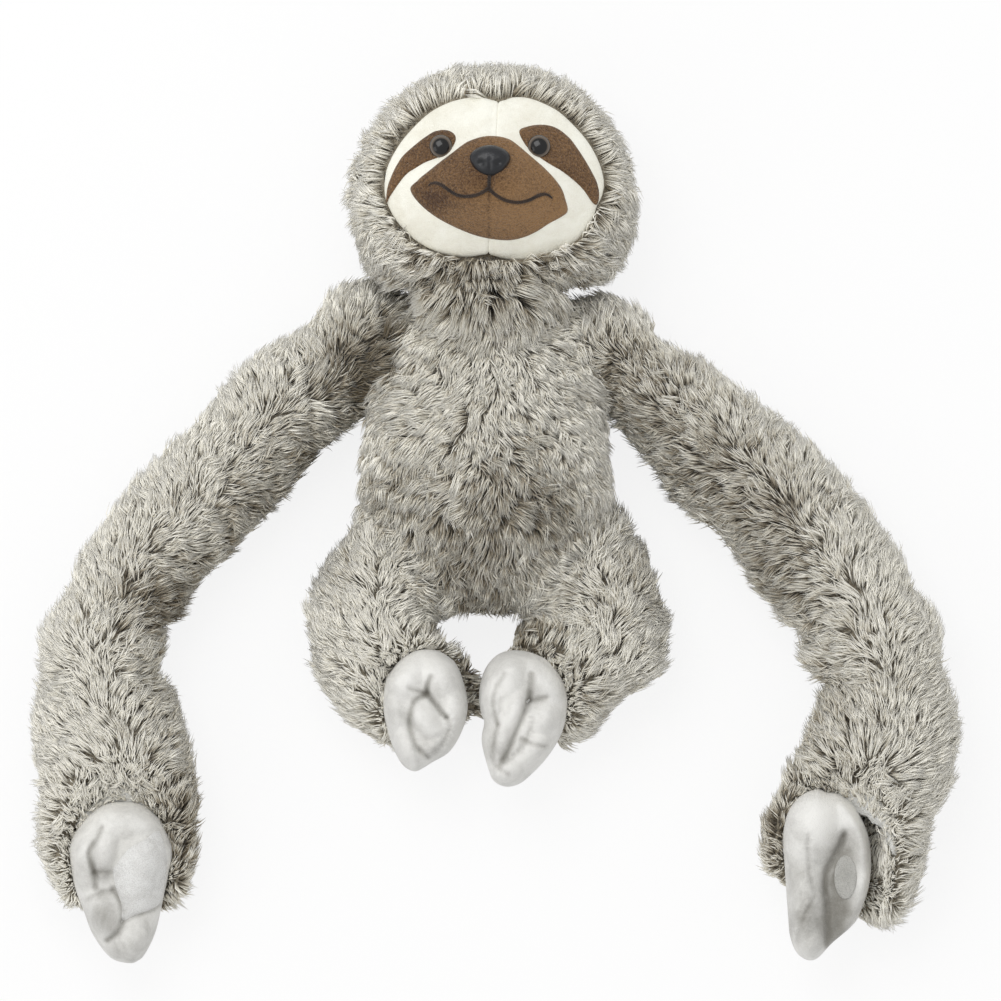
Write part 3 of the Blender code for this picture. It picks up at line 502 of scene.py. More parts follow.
class Finishes:
    """Every material of the toy, built once."""

    FINISHES = {
        "fur": FurFinish(),
        "backing": VelourFinish("fur_backing", (116, 107, 91), (168, 160, 143), 700.0, 240.0,
                                depth=0.0012, gloss=Gloss.DULL, mottle_share=0.0, spread=(0.35, 0.68)),
        "cream": VelourFinish("cream_plush_cloth", (238, 234, 218), (255, 254, 243), mottle_scale=38.0,
                              mottle_share=0.3),
        "brown": VelourFinish("brown_velour_cloth", (70, 45, 24), (158, 122, 82), 1150.0, 900.0, 26.0,
                              0.0015, mottle_share=0.1, spread=(0.34, 0.66), nap_and_shade_share=0.3),
        "grey": VelourFinish("grey_velour_cloth", (136, 133, 125), (247, 246, 242), mottle_scale=48.0,
                             mottle_share=0.4, gloss=Gloss.SILKY, spread=(0.14, 0.76), nap_and_shade_share=0.55),
        "tape": TapeFinish(),
        # The left palm's tape: the same loop tape drawn darker, as painted shade in the palm hollow.
        "shaded_tape": TapeFinish("shaded_loop_tape", (172, 171, 166), (198, 197, 192)),
        "thread": VelourFinish("dark_satin_thread", (26, 19, 15), (62, 46, 35), 2600.0, 900.0,
                               depth=0.0002, gloss=Gloss.SILKY),
        "fibre": VelourFinish("loose_white_fibre", (206, 206, 202), (244, 244, 241), 420.0, 90.0,
                              depth=0.003, gloss=Gloss.DULL),
        "nose": MouldedFinish("moulded_nose_plastic", (5, 7, 11), (15, 18, 26), 0.4, 0.2, depth=0.0004),
        "washer": MouldedFinish("white_washer_plastic", (214, 214, 208), (228, 228, 223), 0.45),
    }

    def __init__(self) -> None:
        """Builds the groups and the materials."""
        self.groups = ShaderGroups()
        self.made = {name: finish.build(self.groups) for name, finish in self.FINISHES.items()}

    def __getitem__(self, name: str) -> bpy.types.Material:
        """Gives a material by its short name."""
        return self.made[name]


# ---------------------------------------------------------------- mesh tools


class Bench:
    """Selecting, joining and finishing meshes with Blender's own operators."""

    @staticmethod
    def place(name: str, data: bpy.types.ID) -> bpy.types.Object:
        """Puts data in the scene as an object at the origin."""
        piece = bpy.data.objects.new(name, data)
        bpy.context.scene.collection.objects.link(piece)
        return piece

    @staticmethod
    def clear() -> None:
        """Deselects everything."""
        if bpy.context.object and bpy.context.object.mode != "OBJECT":
            bpy.ops.object.mode_set(mode="OBJECT")
        bpy.ops.object.select_all(action="DESELECT")

    @staticmethod
    def pick(*pieces: bpy.types.Object) -> None:
        """Selects the pieces given and makes the first active."""
        Bench.clear()
        for piece in pieces:
            piece.select_set(True)
        bpy.context.view_layer.objects.active = pieces[0]

    @staticmethod
    def merge(piece: bpy.types.Object, reach: float, outward: bool = False) -> None:
        """Merges corners that lie together, and may turn every face outwards.

        Args:
            piece: The object.
            reach: How close together corners lie.
            outward: Whether the faces are turned.
        """
        Bench.pick(piece)
        bpy.ops.object.mode_set(mode="EDIT")
        bpy.ops.mesh.select_all(action="SELECT")
        bpy.ops.mesh.remove_doubles(threshold=reach)
        if outward:
            bpy.ops.mesh.normals_make_consistent(inside=False)
        bpy.ops.object.mode_set(mode="OBJECT")

    @staticmethod
    def add(name: str, points: Array, faces: Sequence[Sequence[int]],
            material: bpy.types.Material) -> bpy.types.Object:
        """Makes a smooth mesh object at the origin.

        Args:
            name: The piece's name.
            points: Corner places.
            faces: Corner numbers of each face.
            material: Its material.

        Returns:
            The new object.
        """
        mesh = bpy.data.meshes.new(name)
        mesh.from_pydata([tuple(p) for p in np.asarray(points, float)], [], [tuple(f) for f in faces])
        mesh.polygons.foreach_set("use_smooth", [True] * len(mesh.polygons))
        mesh.materials.append(material)
        mesh.update()
        return Bench.place(name, mesh)

    @staticmethod
    def apply(piece: bpy.types.Object, kind: str, **values: object) -> None:
        """Adds a modifier of a kind with its settings, and applies it."""
        Bench.pick(piece)
        modifier = piece.modifiers.new(kind.lower(), kind)
        for name, value in values.items():
            setattr(modifier, name, value)
        bpy.ops.object.modifier_apply(modifier=modifier.name)

    @staticmethod
    def copies(name: str, nodes: Sequence[str]) -> bpy.types.Object:
        """Joins merged copies of CAD nodes in one new object."""
        made = []
        for node in nodes:
            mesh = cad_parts[node].data.copy()
            mesh.materials.clear()
            made.append(Bench.place(name, mesh))
            Bench.merge(made[-1], 0.00001)
        Bench.pick(*made)
        if len(made) > 1:
            bpy.ops.object.join()
        made[0].name = made[0].data.name = name
        return made[0]

    @staticmethod
    def turned(name: str, centre: tuple[float, float], profile: Sequence[tuple[float, float]],
               material: bpy.types.Material, sides: int = 40) -> bpy.types.Object:
        """Extrudes a circle through a profile and closes both ends.

        Args:
            name: The piece's name.
            centre: Its place in the plane.
            profile: Radius and height of each ring, from below.
            material: Its material.
            sides: Corners of each ring.

        Returns:
            The piece.
        """
        Bench.clear()
        radius, height = profile[0]
        bpy.ops.mesh.primitive_circle_add(vertices=sides, radius=radius, fill_type="NGON",
                                          location=(*centre, height))
        piece = bpy.context.object
        bpy.ops.object.mode_set(mode="EDIT")
        bpy.ops.mesh.select_all(action="SELECT")
        for (last, below), (size, above) in zip(profile, profile[1:]):
            bpy.ops.mesh.extrude_region_move(TRANSFORM_OT_translate={"value": (0, 0, above - below)})
            bpy.ops.transform.resize(value=(size / last, size / last, 1.0),
                                     center_override=(*centre, above))
        bpy.ops.mesh.poke()
        bpy.ops.mesh.select_all(action="SELECT")
        bpy.ops.mesh.normals_make_consistent(inside=False)
        bpy.ops.object.mode_set(mode="OBJECT")
        bpy.ops.object.transform_apply(location=True, rotation=True, scale=True)
        bpy.ops.object.shade_smooth_by_angle(angle=math.radians(50))
        piece.name = piece.data.name = name
        piece.data.materials.clear()
        piece.data.materials.append(material)
        return piece


class Curve2:
    """A smooth line through points in the plane, given in millimetres, open or closed."""

    def __init__(self, points: Points, closed: bool = False, steps: int = 8) -> None:
        """Runs a smooth line through the points.

        Args:
            points: The points to pass through.
            closed: Whether it ends where it starts.
            steps: Points made for each one given.
        """
        self.closed = closed
        knots = np.asarray(points, float) * MM
        count = len(knots)
        made = []
        for index in range(count if closed else count - 1):
            around = range(index - 1, index + 3)
            a, b, c, d = (knots[k % count if closed else min(max(k, 0), count - 1)] for k in around)
            for step in range(steps):
                t = step / steps
                made.append(0.5 * (2 * b + (c - a) * t + (2 * a - 5 * b + 4 * c - d) * t * t
                                   + (3 * b - a - 3 * c + d) * t ** 3))
        if not closed:
            made.append(knots[-1])
        self.points = np.array(made)

    def near(self, places: Array) -> tuple[Array, Array, Array]:
        """Finds each place's nearest point on the line.

        Args:
            places: Places in the plane.

        Returns:
            Distance, arc length and nearest point of each.
        """
        ends = np.roll(self.points, -1, 0) if self.closed else self.points[1:]
        starts = self.points if self.closed else self.points[:-1]
        run = ends - starts
        sizes = np.maximum((run ** 2).sum(1), 1e-14)
        arcs = np.concatenate([[0.0], np.cumsum(np.sqrt(sizes))])[:-1]
        best = np.full(len(places), np.inf)
        arc = np.zeros(len(places))
        nearest = np.zeros((len(places), 2))
        for start, way, size, at in zip(starts, run, sizes, arcs):
            t = np.clip(((places - start) @ way) / size, 0.0, 1.0)
            foot = start + t[:, None] * way
            far = ((places - foot) ** 2).sum(1)
            closer = far < best
            best[closer] = far[closer]
            arc[closer] = at + t[closer] * math.sqrt(size)
            nearest[closer] = foot[closer]
        return np.sqrt(best), arc, nearest

    def holds(self, places: Array) -> Array:
        """Says which places lie inside the closed line."""
        inside = np.zeros(len(places), bool)
        for (ax, ay), (bx, by) in zip(self.points, np.roll(self.points, -1, 0)):
            if ay != by:
                crosses = (ay > places[:, 1]) != (by > places[:, 1])
                at = ax + (places[:, 1] - ay) * (bx - ax) / (by - ay)
                inside ^= crosses & (places[:, 0] < at)
        return inside

    def arcs(self) -> tuple[Array, Array]:
        """Gives the line's points, closed where it is, and the length run at each."""
        points = np.vstack([self.points, self.points[:1]]) if self.closed else self.points
        sizes = np.sqrt((np.diff(points, axis=0) ** 2).sum(1))
        return points, np.concatenate([[0.0], np.cumsum(sizes)])

    def evened(self, pitch: float) -> Array:
        """Gives points a steady distance apart along the line."""
        points, arcs = self.arcs()
        at = np.linspace(0.0, arcs[-1], max(3, int(round(arcs[-1] / pitch))) + 1)
        if self.closed:
            at = at[:-1]
        return np.stack([np.interp(at, arcs, points[:, i]) for i in (0, 1)], 1)


@dataclass(frozen=True)
class Stroke:
    """One crease or ridge pressed into soft cloth, along a line in millimetres."""

    points: Points
    width: float
    depth: float
    pucker: float = 0.0
    pitch: float = 2.6

    def mask(self, places: Array, wider: float = 1.0) -> tuple[Array, Array]:
        """Gives 1 on the line, falling off over its width, and the arc length there."""
        far, arc, _ = Curve2(self.points, steps=6).near(places)
        return np.exp(-((far / (self.width * wider * MM)) ** 2)), arc

    def press(self, places: Array) -> Array:
        """Gives the height in metres that the stroke adds at each place, below 0 in a crease."""
        made = self.mask(places)[0] * self.depth * MM
        if self.pucker:
            reach, arc = self.mask(places, 2.2)
            made = made + reach * self.pucker * MM * np.cos(TAU * arc / (self.pitch * MM))
        return made


class Panel:
    """A flat outline filled with an even net of points, to be lifted into a cloth piece."""

    ROW_STEP = 0.866

    def __init__(self, outline: Curve2, spacing: float, rings: Sequence[float]) -> None:
        """Nets the outline.

        Args:
            outline: The closed edge.
            spacing: Distance between points inside.
            rings: Distances of the extra rings just inside the edge.
        """
        edge = outline.evened(spacing)
        lo, hi = edge.min(0), edge.max(0)
        net = []
        for k, y in enumerate(np.arange(lo[1], hi[1], spacing * self.ROW_STEP)):
            x = np.arange(lo[0] + (spacing / 2 if k % 2 else 0.0), hi[0], spacing)
            net.append(np.column_stack([x, np.full(len(x), y)]))
        inner = np.vstack(net)
        inner = inner[outline.holds(inner)]
        inner = inner[outline.near(inner)[0] > max(rings) + spacing * 0.45]
        way = np.roll(edge, -1, 0) - np.roll(edge, 1, 0)
        normal = unit(np.stack([way[:, 1], -way[:, 0]], 1), 1e-9)
        if not outline.holds(edge[:1] - normal[:1] * 0.0002)[0]:
            normal = -normal
        extra = []
        for ring in rings:
            made = edge - normal * ring
            extra.append(made[outline.holds(made) & (outline.near(made)[0] > ring * 0.8)])
        points = np.vstack([edge, *extra, inner])
        found = delaunay_2d_cdt([Vector(p) for p in points], [], [list(range(len(edge)))], 1, 1e-7)
        self.points = np.array([(v.x, v.y) for v in found[0]])
        self.faces = []
        for face in found[2]:
            a, b, c = (self.points[i] for i in face[:3])
            turn = (b[0] - a[0]) * (c[1] - a[1]) - (b[1] - a[1]) * (c[0] - a[0])
            self.faces.append(list(face) if turn > 0 else list(face)[::-1])
        self.depth = outline.near(self.points)[0]

    def closed(self, name: str, top: Array, bottom: Array, material: bpy.types.Material,
               joined: bool = False) -> bpy.types.Object:
        """Builds a closed piece from its upper and lower heights.

        Args:
            name: The piece's name.
            top: Height of each point above.
            bottom: Height of each point below.
            material: Its material.
            joined: Whether the two sides share their edge points.

        Returns:
            The piece.
        """
        count = len(self.points)
        upper = np.column_stack([self.points, top])
        lower = np.column_stack([self.points, bottom])
        seen = dict.fromkeys((a, b) for face in self.faces for a, b in zip(face, face[1:] + face[:1]))
        border = [(a, b) for a, b in seen if (b, a) not in seen]
        below = list(range(count, 2 * count))
        if joined:
            rim = {i for edge in border for i in edge}
            inside = [i for i in range(count) if i not in rim]
            below = list(range(count))
            for number, i in enumerate(inside):
                below[i] = count + number
            lower = lower[inside]
        faces = self.faces + [[below[i] for i in face[::-1]] for face in self.faces]
        if not joined:
            faces += [[b, a, a + count, b + count] for a, b in border]
        return Bench.add(name, np.vstack([upper, lower]), faces, material)


def finish_piece(piece: bpy.types.Object, body: str, nodes: Sequence[str] = ()) -> None:
    """Rides a finished piece on its body and hides the CAD nodes that it stands for.

    Args:
        piece: The piece.
        body: The body that it rides on.
        nodes: The CAD nodes that it stands for.
    """
    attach(piece, body)
    if nodes:
        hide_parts(*nodes)
    LOG.info("%s rides on %s", piece.name, body)


# ---------------------------------------------------------------- skins and fur


class Skin:
    """The stuffed cloth body under the fur, made from the CAD forms."""

    VOXEL = 0.003
    FLOOR = 0.0012
    CLOTH = 0.0022

    def __init__(self, name: str, nodes: Sequence[str], finishes: Finishes, inset: float,
                 neighbours: Sequence[str] = (), nudges: Sequence[Nudge] = (),
                 end: Curve2 | None = None, cup: float = 0.0) -> None:
        """Fuses the CAD forms, smooths them and draws them in by part of the pile.

        Args:
            name: The skin's name.
            nodes: The CAD nodes that it follows.
            finishes: The materials.
            inset: How far it lies inside them.
            neighbours: CAD nodes of other bodies, near which it stays close.
            nudges: Last pushes of its shape.
            end: The outline of the paw or foot that lies on it.
            cup: How high it may stand beside that outline.
        """
        self.finishes = finishes
        self.piece = piece = Bench.copies(name, nodes)
        mesh = piece.data
        Bench.apply(piece, "REMESH", mode="VOXEL", voxel_size=self.VOXEL)
        self._keep_outer(piece)
        Bench.apply(piece, "SMOOTH", iterations=6, factor=0.5)
        places = read(mesh.vertices, "co")
        depth = np.full(len(places), inset)
        if neighbours:
            tree = self._tree_of(neighbours)
            near = np.array([tree.find_nearest(Vector(place))[3] for place in places])
            depth = inset * np.clip((near - 0.001) / 0.009, 0.08, 1.0)
        moved = settle(places - read(mesh.vertex_normals, "vector") * depth[:, None], nudges)
        if end is not None:
            far = end.near(moved[:, :2])[0] * np.where(end.holds(moved[:, :2]), -1, 1)
            moved[:, 2] = np.minimum(moved[:, 2], cup + 0.9 * np.maximum(far, 0) - 0.004 * (far < 0))
        moved[:, 2] = np.maximum(moved[:, 2], self.FLOOR)
        mesh.vertices.foreach_set("co", moved.ravel())
        Bench.apply(piece, "SMOOTH", iterations=2, factor=0.5)
        mesh.polygons.foreach_set("use_smooth", [True] * len(mesh.polygons))
        mesh.materials.clear()
        mesh.materials.append(finishes["backing"])
        mesh.calc_loop_triangles()
        self.places = read(mesh.vertices, "co")
        self.normals = read(mesh.vertex_normals, "vector")
        self.triangles = read(mesh.loop_triangles, "vertices", kind=int)
        self.tree = BVHTree.FromPolygons([Vector(p) for p in self.places], self.triangles.tolist())

    def filling(self, name: str, shape: Callable[[Array], Array] | None = None) -> bpy.types.Object:
        """Makes the loose filling, a little inside the cloth.

        Args:
            name: The filling's name.
            shape: A last change of its form, if any.

        Returns:
            The filling.
        """
        piece = Bench.place(name, self.piece.data.copy())
        piece.data.name = name
        places = self.places - self.normals * self.CLOTH
        piece.data.vertices.foreach_set("co", (shape(places) if shape else places).ravel())
        piece.data.materials[0] = self.finishes["fibre"]
        Bench.apply(piece, "DECIMATE", ratio=0.3)
        return piece

    @staticmethod
    def _tree_of(nodes: Sequence[str]) -> BVHTree:
        """Makes one search tree of several CAD nodes."""
        points, faces = [], []
        for node in nodes:
            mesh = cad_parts[node].data
            mesh.calc_loop_triangles()
            start = len(points)
            points += [v.co.copy() for v in mesh.vertices]
            faces += [[start + i for i in t.vertices] for t in mesh.loop_triangles]
        return BVHTree.FromPolygons(points, faces)

    @staticmethod
    def _keep_outer(piece: bpy.types.Object) -> None:
        """Keeps only the largest connected shell of a mesh."""
        mesh = piece.data
        one, two = read(mesh.edges, "vertices", 2, int).T
        label, last = np.arange(len(mesh.vertices)), None
        while last is None or (label != last).any():
            last, label = label, label.copy()
            low = np.minimum(last[one], last[two])
            np.minimum.at(label, one, low)
            np.minimum.at(label, two, low)
            label = label[label]
        names, sizes = np.unique(label, return_counts=True)
        if len(names) == 1:
            return
        keep = label == names[sizes.argmax()]
        Bench.pick(piece)
        bpy.ops.object.mode_set(mode="EDIT")
        bpy.ops.mesh.select_mode(type="VERT")
        bpy.ops.mesh.select_all(action="DESELECT")
        bpy.ops.object.mode_set(mode="OBJECT")
        mesh.vertices.foreach_set("select", ~keep)
        bpy.ops.object.mode_set(mode="EDIT")
        bpy.ops.mesh.delete(type="VERT")
        bpy.ops.object.mode_set(mode="OBJECT")


@dataclass
class Roots:
    """Where strands grow, with the skin's direction there."""

    places: Array
    normals: Array

    def pick(self, keep: Array) -> "Roots":
        """Gives only the roots chosen."""
        return Roots(self.places[keep], self.normals[keep])


@dataclass
class Coat:
    """Long fur on one skin, made of tapered strands that lean and gather in locks."""

    name: str
    skin: Skin
    comb: Callable[[Array], Array]
    tone: Callable[[Array], Array]
    front_density: float = 0.96
    back_density: float = 0.39
    length: float = 0.0120
    width: float = 0.00074
    lean: float = 0.92
    lock_size: float = 0.0034
    gather: float = 0.46
    seed: int = 1
    cut: Callable[[Roots], Array] | None = None
    trim: Callable[[Array], Array] | None = None
    others: Sequence[Skin] = ()
    sink: float = 0.005
    comb_noise: float = 0.11
    lock_turn: float = 0.32
    lock_spread: float = 0.14
    lock_tone: float = 0.125
    length_noise: float = 0.13
    lean_noise: float = 0.05
    tone_noise: float = 0.095

    STRAND_LIMIT = 19000
    QUICK_SHARE = 0.75
    FLOOR = 0.0004
    SUNK = 0.0006
    PROBES = (Vector((0.1, 0.2, 1.0)), Vector((0.9, 0.3, -0.2)), Vector((-0.8, -0.6, 0.1)))

    def _scatter(self, rng: np.random.Generator) -> Roots:
        """Scatters roots over the skin, fewer on the back."""
        skin = self.skin
        corners = skin.places[skin.triangles]
        cross = np.cross(corners[:, 1] - corners[:, 0], corners[:, 2] - corners[:, 0])
        area = np.linalg.norm(cross, axis=1) / 2
        up = cross[:, 2] / np.maximum(2 * area, 1e-12)
        share = np.clip((up + 0.35) / 0.5, 0.0, 1.0)
        density = (self.back_density + (self.front_density - self.back_density) * share) / MM ** 2
        weight = area * density
        count = int(weight.sum())
        chosen = rng.choice(len(area), count, p=weight / weight.sum())
        a, b = rng.random(count), rng.random(count)
        flip = a + b > 1
        a[flip], b[flip] = 1 - a[flip], 1 - b[flip]
        mix = np.stack([1 - a - b, a, b], 1)[:, :, None]
        normals = (skin.normals[skin.triangles[chosen]] * mix).sum(1)
        return Roots((corners[chosen] * mix).sum(1), unit(normals, 0.0))

    def _crowding(self, roots: Roots) -> tuple[Array, Array]:
        """Finds how deep roots lie in other skins, and how much room they have before one.

        Args:
            roots: The roots.

        Returns:
            Depth inside and free height, for each root.
        """
        depth, free = np.zeros(len(roots.places)), np.full(len(roots.places), 1.0)
        for other in self.others:
            low, high = other.places.min(0) - 0.012, other.places.max(0) + 0.012
            for i in np.flatnonzero(((roots.places > low) & (roots.places < high)).all(1)):
                place = Vector(roots.places[i])
                hits = [(way, other.tree.ray_cast(place, way)) for way in self.PROBES]
                if sum(hit[0] is not None and hit[1].dot(way) > 0 for way, hit in hits) >= 2:
                    depth[i] = max(depth[i], other.tree.find_nearest(place)[3])
                    continue
                hit = other.tree.ray_cast(place, Vector(roots.normals[i]), 0.02)
                if hit[0] is not None:
                    free[i] = min(free[i], hit[3])
        return depth, free

    def grow(self) -> list[bpy.types.Object]:
        """Grows the coat, in fur pieces of which none is past the strand limit."""
        rng = np.random.default_rng(self.seed)
        roots = self._scatter(rng)
        if self.cut is not None:
            roots = roots.pick(self.cut(roots))
        depth, free = self._crowding(roots)
        keep = (depth < self.sink) & ((free > 0.007) | (rng.random(len(depth)) < 0.4))
        roots, free = roots.pick(keep), free[keep]
        places, normals, count = roots.places, roots.normals, len(free)
        comb = self._swirl(roots, self.comb(places))
        comb = along_skin(comb + rng.normal(0.0, self.comb_noise, comb.shape), normals)
        locks = self._locks(roots, rng)
        lock_turn = rng.normal(0.0, self.lock_turn, (count, 3))[locks]
        lock_size = rng.normal(1.0, self.lock_spread, count)[locks]
        lock_tone = rng.normal(0.0, self.lock_tone, count)[locks]
        way = along_skin(comb + lock_turn, normals)
        size = lock_size * rng.normal(1.0, self.length_noise, count)
        size = self.length * np.clip(size, 0.55, 1.4)
        if self.trim is not None:
            size = size * self.trim(places)
        size = np.where(free < 0.010, np.maximum(size * free / 0.012, 0.0035), size)[:, None]
        lean = np.clip(self.lean + rng.normal(0.0, self.lean_noise, count), 0.45, 0.97)[:, None]
        rise = np.sqrt(1 - lean ** 2)
        tips = places + size * (way * lean + normals * rise)
        pull = self.gather * rng.uniform(0.55, 1.15, count)[:, None]
        tips = tips * (1 - pull) + (tips[locks] + 0.28 * (places - places[locks])) * pull
        bends = places + size * (0.34 * way + normals * (rise * 0.9 + 0.08))
        # Each strand's tone: its place's tone with the spots' painted shade, its lock's tone and a random
        # part.
        tone = self.tone(places) + lock_tone + rng.normal(0.0, self.tone_noise, count)
        tone = np.clip(tone, 0.04, 0.96)
        order = np.argsort(-places[:, 1], kind="stable")
        parts = max(1, math.ceil(count / self.STRAND_LIMIT))
        made = []
        for number, part in enumerate(np.array_split(order, parts)):
            width = rng.uniform(0.8, 1.25, len(part)) * self.width
            made.append(self._strands("%s_fur_%d" % (self.name, number + 1), roots.pick(part),
                                      bends[part], tips[part], tone[part], width))
        LOG.info("%s coat: %d strands in %d pieces", self.name, count, parts)
        return made

    @staticmethod
    def _swirl(roots: Roots, comb: Array) -> Array:
        """Turns the combed direction a little from place to place, as handled fur lies."""
        x, y, z = (roots.places / MM).T
        turn = (0.26 * np.sin(x * 0.11 + y * 0.07 + 1.0) + 0.24 * np.sin(y * 0.17 - x * 0.05 + z * 0.08)
                + 0.18 * np.sin(x * 0.31 + y * 0.26 + 2.0))[:, None]
        return comb * np.cos(turn) + np.cross(roots.normals, comb) * np.sin(turn)

    def _locks(self, roots: Roots, rng: np.random.Generator) -> Array:
        """Gives each root the number of the root that leads its lock."""
        count = len(roots.places)
        wanted = int(count / (self.front_density / MM ** 2 * self.lock_size ** 2))
        leaders = rng.choice(count, max(4, wanted), replace=False)
        tree = kdtree.KDTree(len(leaders))
        for leader in leaders:
            tree.insert(Vector(roots.places[leader]), int(leader))
        tree.balance()
        return np.array([tree.find(Vector(place))[1] for place in roots.places], int)

    def _strands(self, name: str, roots: Roots, bends: Array, tips: Array, tone: Array,
                 width: Array) -> bpy.types.Object:
        """Copies one modelled strand, three-sided and pointed, along every curve.

        Args:
            name: The piece's name.
            roots: Where strands start.
            bends: The point that each curves towards.
            tips: Where they end.
            tone: How pale each is.
            width: How wide each is.

        Returns:
            The fur piece.
        """
        count = len(tips)
        angles = np.array([math.pi / 2, math.pi * 7 / 6, math.pi * 11 / 6])
        sunk = roots.places - roots.normals * self.SUNK
        rings = []
        for share, wide in ((0.0, 0.9), (0.5, 1.0)):
            centre = sunk * (1 - share) ** 2 + bends * 2 * share * (1 - share) + tips * share ** 2
            along = unit((bends - sunk) * (1 - share) + (tips - bends) * share, 1e-9)
            across = unit(np.cross(along, roots.normals))
            over = np.cross(across, along)
            radius = (width * wide / 2)[:, None, None]
            rings.append(centre[:, None, :] + radius * (np.cos(angles)[None, :, None] * across[:, None, :]
                                                        + np.sin(angles)[None, :, None] * over[:, None, :]))
        points = np.concatenate([*rings, tips[:, None, :]], 1)
        points[:, :, 2] = np.maximum(points[:, :, 2], self.FLOOR)
        sides = [(k, (k + 1) % 3) for k in range(3)]
        faces = [((a, b, 3 + b, 3 + a), (0.0, 0.0, 0.5, 0.5), (a, a + 1, a + 1, a)) for a, b in sides]
        faces += [((3 + a, 3 + b, 6), (0.5, 0.5, 1.0), (a, a + 1, a + 0.5)) for a, b in sides]
        faces.append(((2, 1, 0), (0.0, 0.0, 0.02), (0, 1, 0.5)))
        corners, heights, columns = (np.array([v for face in faces for v in face[i]]) for i in range(3))
        spans = np.tile([len(face[0]) for face in faces], count)
        loops = (corners + (np.arange(count) * points.shape[1])[:, None]).ravel()
        mesh = bpy.data.meshes.new(name)
        mesh.vertices.add(count * points.shape[1])
        mesh.vertices.foreach_set("co", points.ravel())
        mesh.loops.add(len(loops))
        mesh.loops.foreach_set("vertex_index", loops)
        mesh.polygons.add(len(spans))
        mesh.polygons.foreach_set("loop_start", np.concatenate([[0], np.cumsum(spans)[:-1]]))
        mesh.update(calc_edges=True)
        layout = np.empty((count, len(corners), 2))
        layout[:, :, 0] = tone[:, None] + (columns - 1.5) * 0.008
        layout[:, :, 1] = heights
        mesh.uv_layers.new(name="OFBake").data.foreach_set("uv", layout.ravel())
        mesh.polygons.foreach_set("use_smooth", [True] * len(spans))
        mesh.materials.append(self.skin.finishes["fur"])
        return Bench.place(name, mesh)


def fur_tone_and_shade(places: Array) -> Array:
    """Gives how pale the fur is drawn at each place, from 0 to 1: its own tone with the painted shade of
    the spots.
    """
    return toned(np.full(len(places), FUR_TONE), places, FUR_TONE_AND_SHADE_SPOTS)


FUR_TONE = 0.74
# Paler and darker places of the fur: darker under the chin and down the lower torso, painted shade in the
# armpits, along the arms' inner sides and the torso's sides, between the legs and the feet and round the
# paw cuffs, and paler on the arms' outer edges and on the legs.
FUR_TONE_AND_SHADE_SPOTS = rows(
    ToneAndShadeSpot,
    (-2, 92, 22, -0.42), (38, 86, 18, -0.26), (-34, 86, 18, -0.26), (-54, 54, 17, -0.52),
    (-30, 48, 12, -0.12), (8, -18, 26, -0.42), (30, -30, 20, -0.26), (-12, -52, 22, -0.36),
    (0, -72, 15, -0.32), (-46, -12, 20, -0.24), (-36, -14, 16, -0.12), (36, 40, 18, 0.12),
    (55, 14, 13, 0.20), (0, 190, 26, 0.10), (60, 110, 16, -0.12), (68, 40, 20, -0.42),
    (98, 22, 20, -0.32), (122, -6, 22, -0.34), (148, -34, 22, -0.32), (160, -66, 18, -0.22),
    (-72, 38, 18, -0.58), (-98, -2, 20, -0.30), (-130, -36, 20, -0.24), (-165, -72, 20, -0.40),
    (-172, -88, 14, -0.20), (-212, -100, 30, 0.18), (-205, -150, 30, 0.18), (205, -60, 30, 0.18),
    (222, -150, 30, 0.18), (64, -66, 18, -0.24), (-66, -60, 14, -0.10), (-152, -178, 14, -0.26),
    (-40, -80, 16, 0.12), (-72, -100, 24, 0.12), (66, -96, 22, 0.08), (-156, -196, 12, -0.30),
    (146, -190, 12, -0.24), (196, -200, 12, -0.24), (-10, -112, 12, -0.36), (20, -94, 13, -0.34),
    (-52, -84, 14, 0.26),
)
TORSO_NUDGES = rows(
    Nudge,
    (66, 5, 26, -6, 0), (62, -45, 22, -5, 0), (-44, 86, 14, -4, 7), (44, 86, 14, 4, 7)
)
HEAD_NUDGES = rows(
    Nudge,
    (72, 150, 26, -2, 0), (0, 198, 34, 0, -0.5), (-56, 90, 14, -1, -4), (62, 92, 14, 0, -1)
)
ARM_NUDGES = {
    Side.RIGHT: rows(
        Nudge,
        (-58, 86, 18, 6, 7), (-85, 72, 26, -3, 6), (-120, 42, 26, -3, 4), (-150, 12, 26, 2, -1),
        (-118, -38, 24, -2, 2), (-142, -66, 18, -4, 3), (-85, 0, 20, -3, 3), (-188, -40, 26, 3, -2),
        (-218, -70, 20, 2, 0), (-228, -120, 32, -5, 0), (-160, -118, 20, 5, 0), (-212, -200, 18, -3, 0),
        (-148, -190, 26, -2.5, 0), (-204, -220, 16, 0, -3), (-152, -232, 14, 0, -6)
    ),
    Side.LEFT: rows(
        Nudge,
        (85, 68, 30, -1, -4), (125, 30, 28, 0, -1), (100, -20, 22, -3, -5), (140, -58, 20, -3, -5),
        (154, -100, 24, -16, -2), (200, -30, 22, -3, -2), (60, 86, 18, -5, 3), (232, -122, 34, 3, 0),
        (228, -190, 18, -6, 0), (143, -190, 26, -5, 0), (143, -222, 18, -2, 0), (198, -228, 18, 3, -8),
        (212, -212, 16, 1, -2)
    ),
}
LEG_NUDGES = {
    Side.RIGHT: rows(
        Nudge,
        (-84, -62, 22, -7, 1), (-76, -140, 24, 4, 4), (-58, -150, 18, 1, 2), (-22, -118, 20, 19, -3)
    ),
    Side.LEFT: rows(
        Nudge,
        (80, -50, 20, 4, 2), (78, -140, 24, -15, 13), (52, -156, 18, -4, 7), (22, -92, 16, -22, -3)
    ),
}


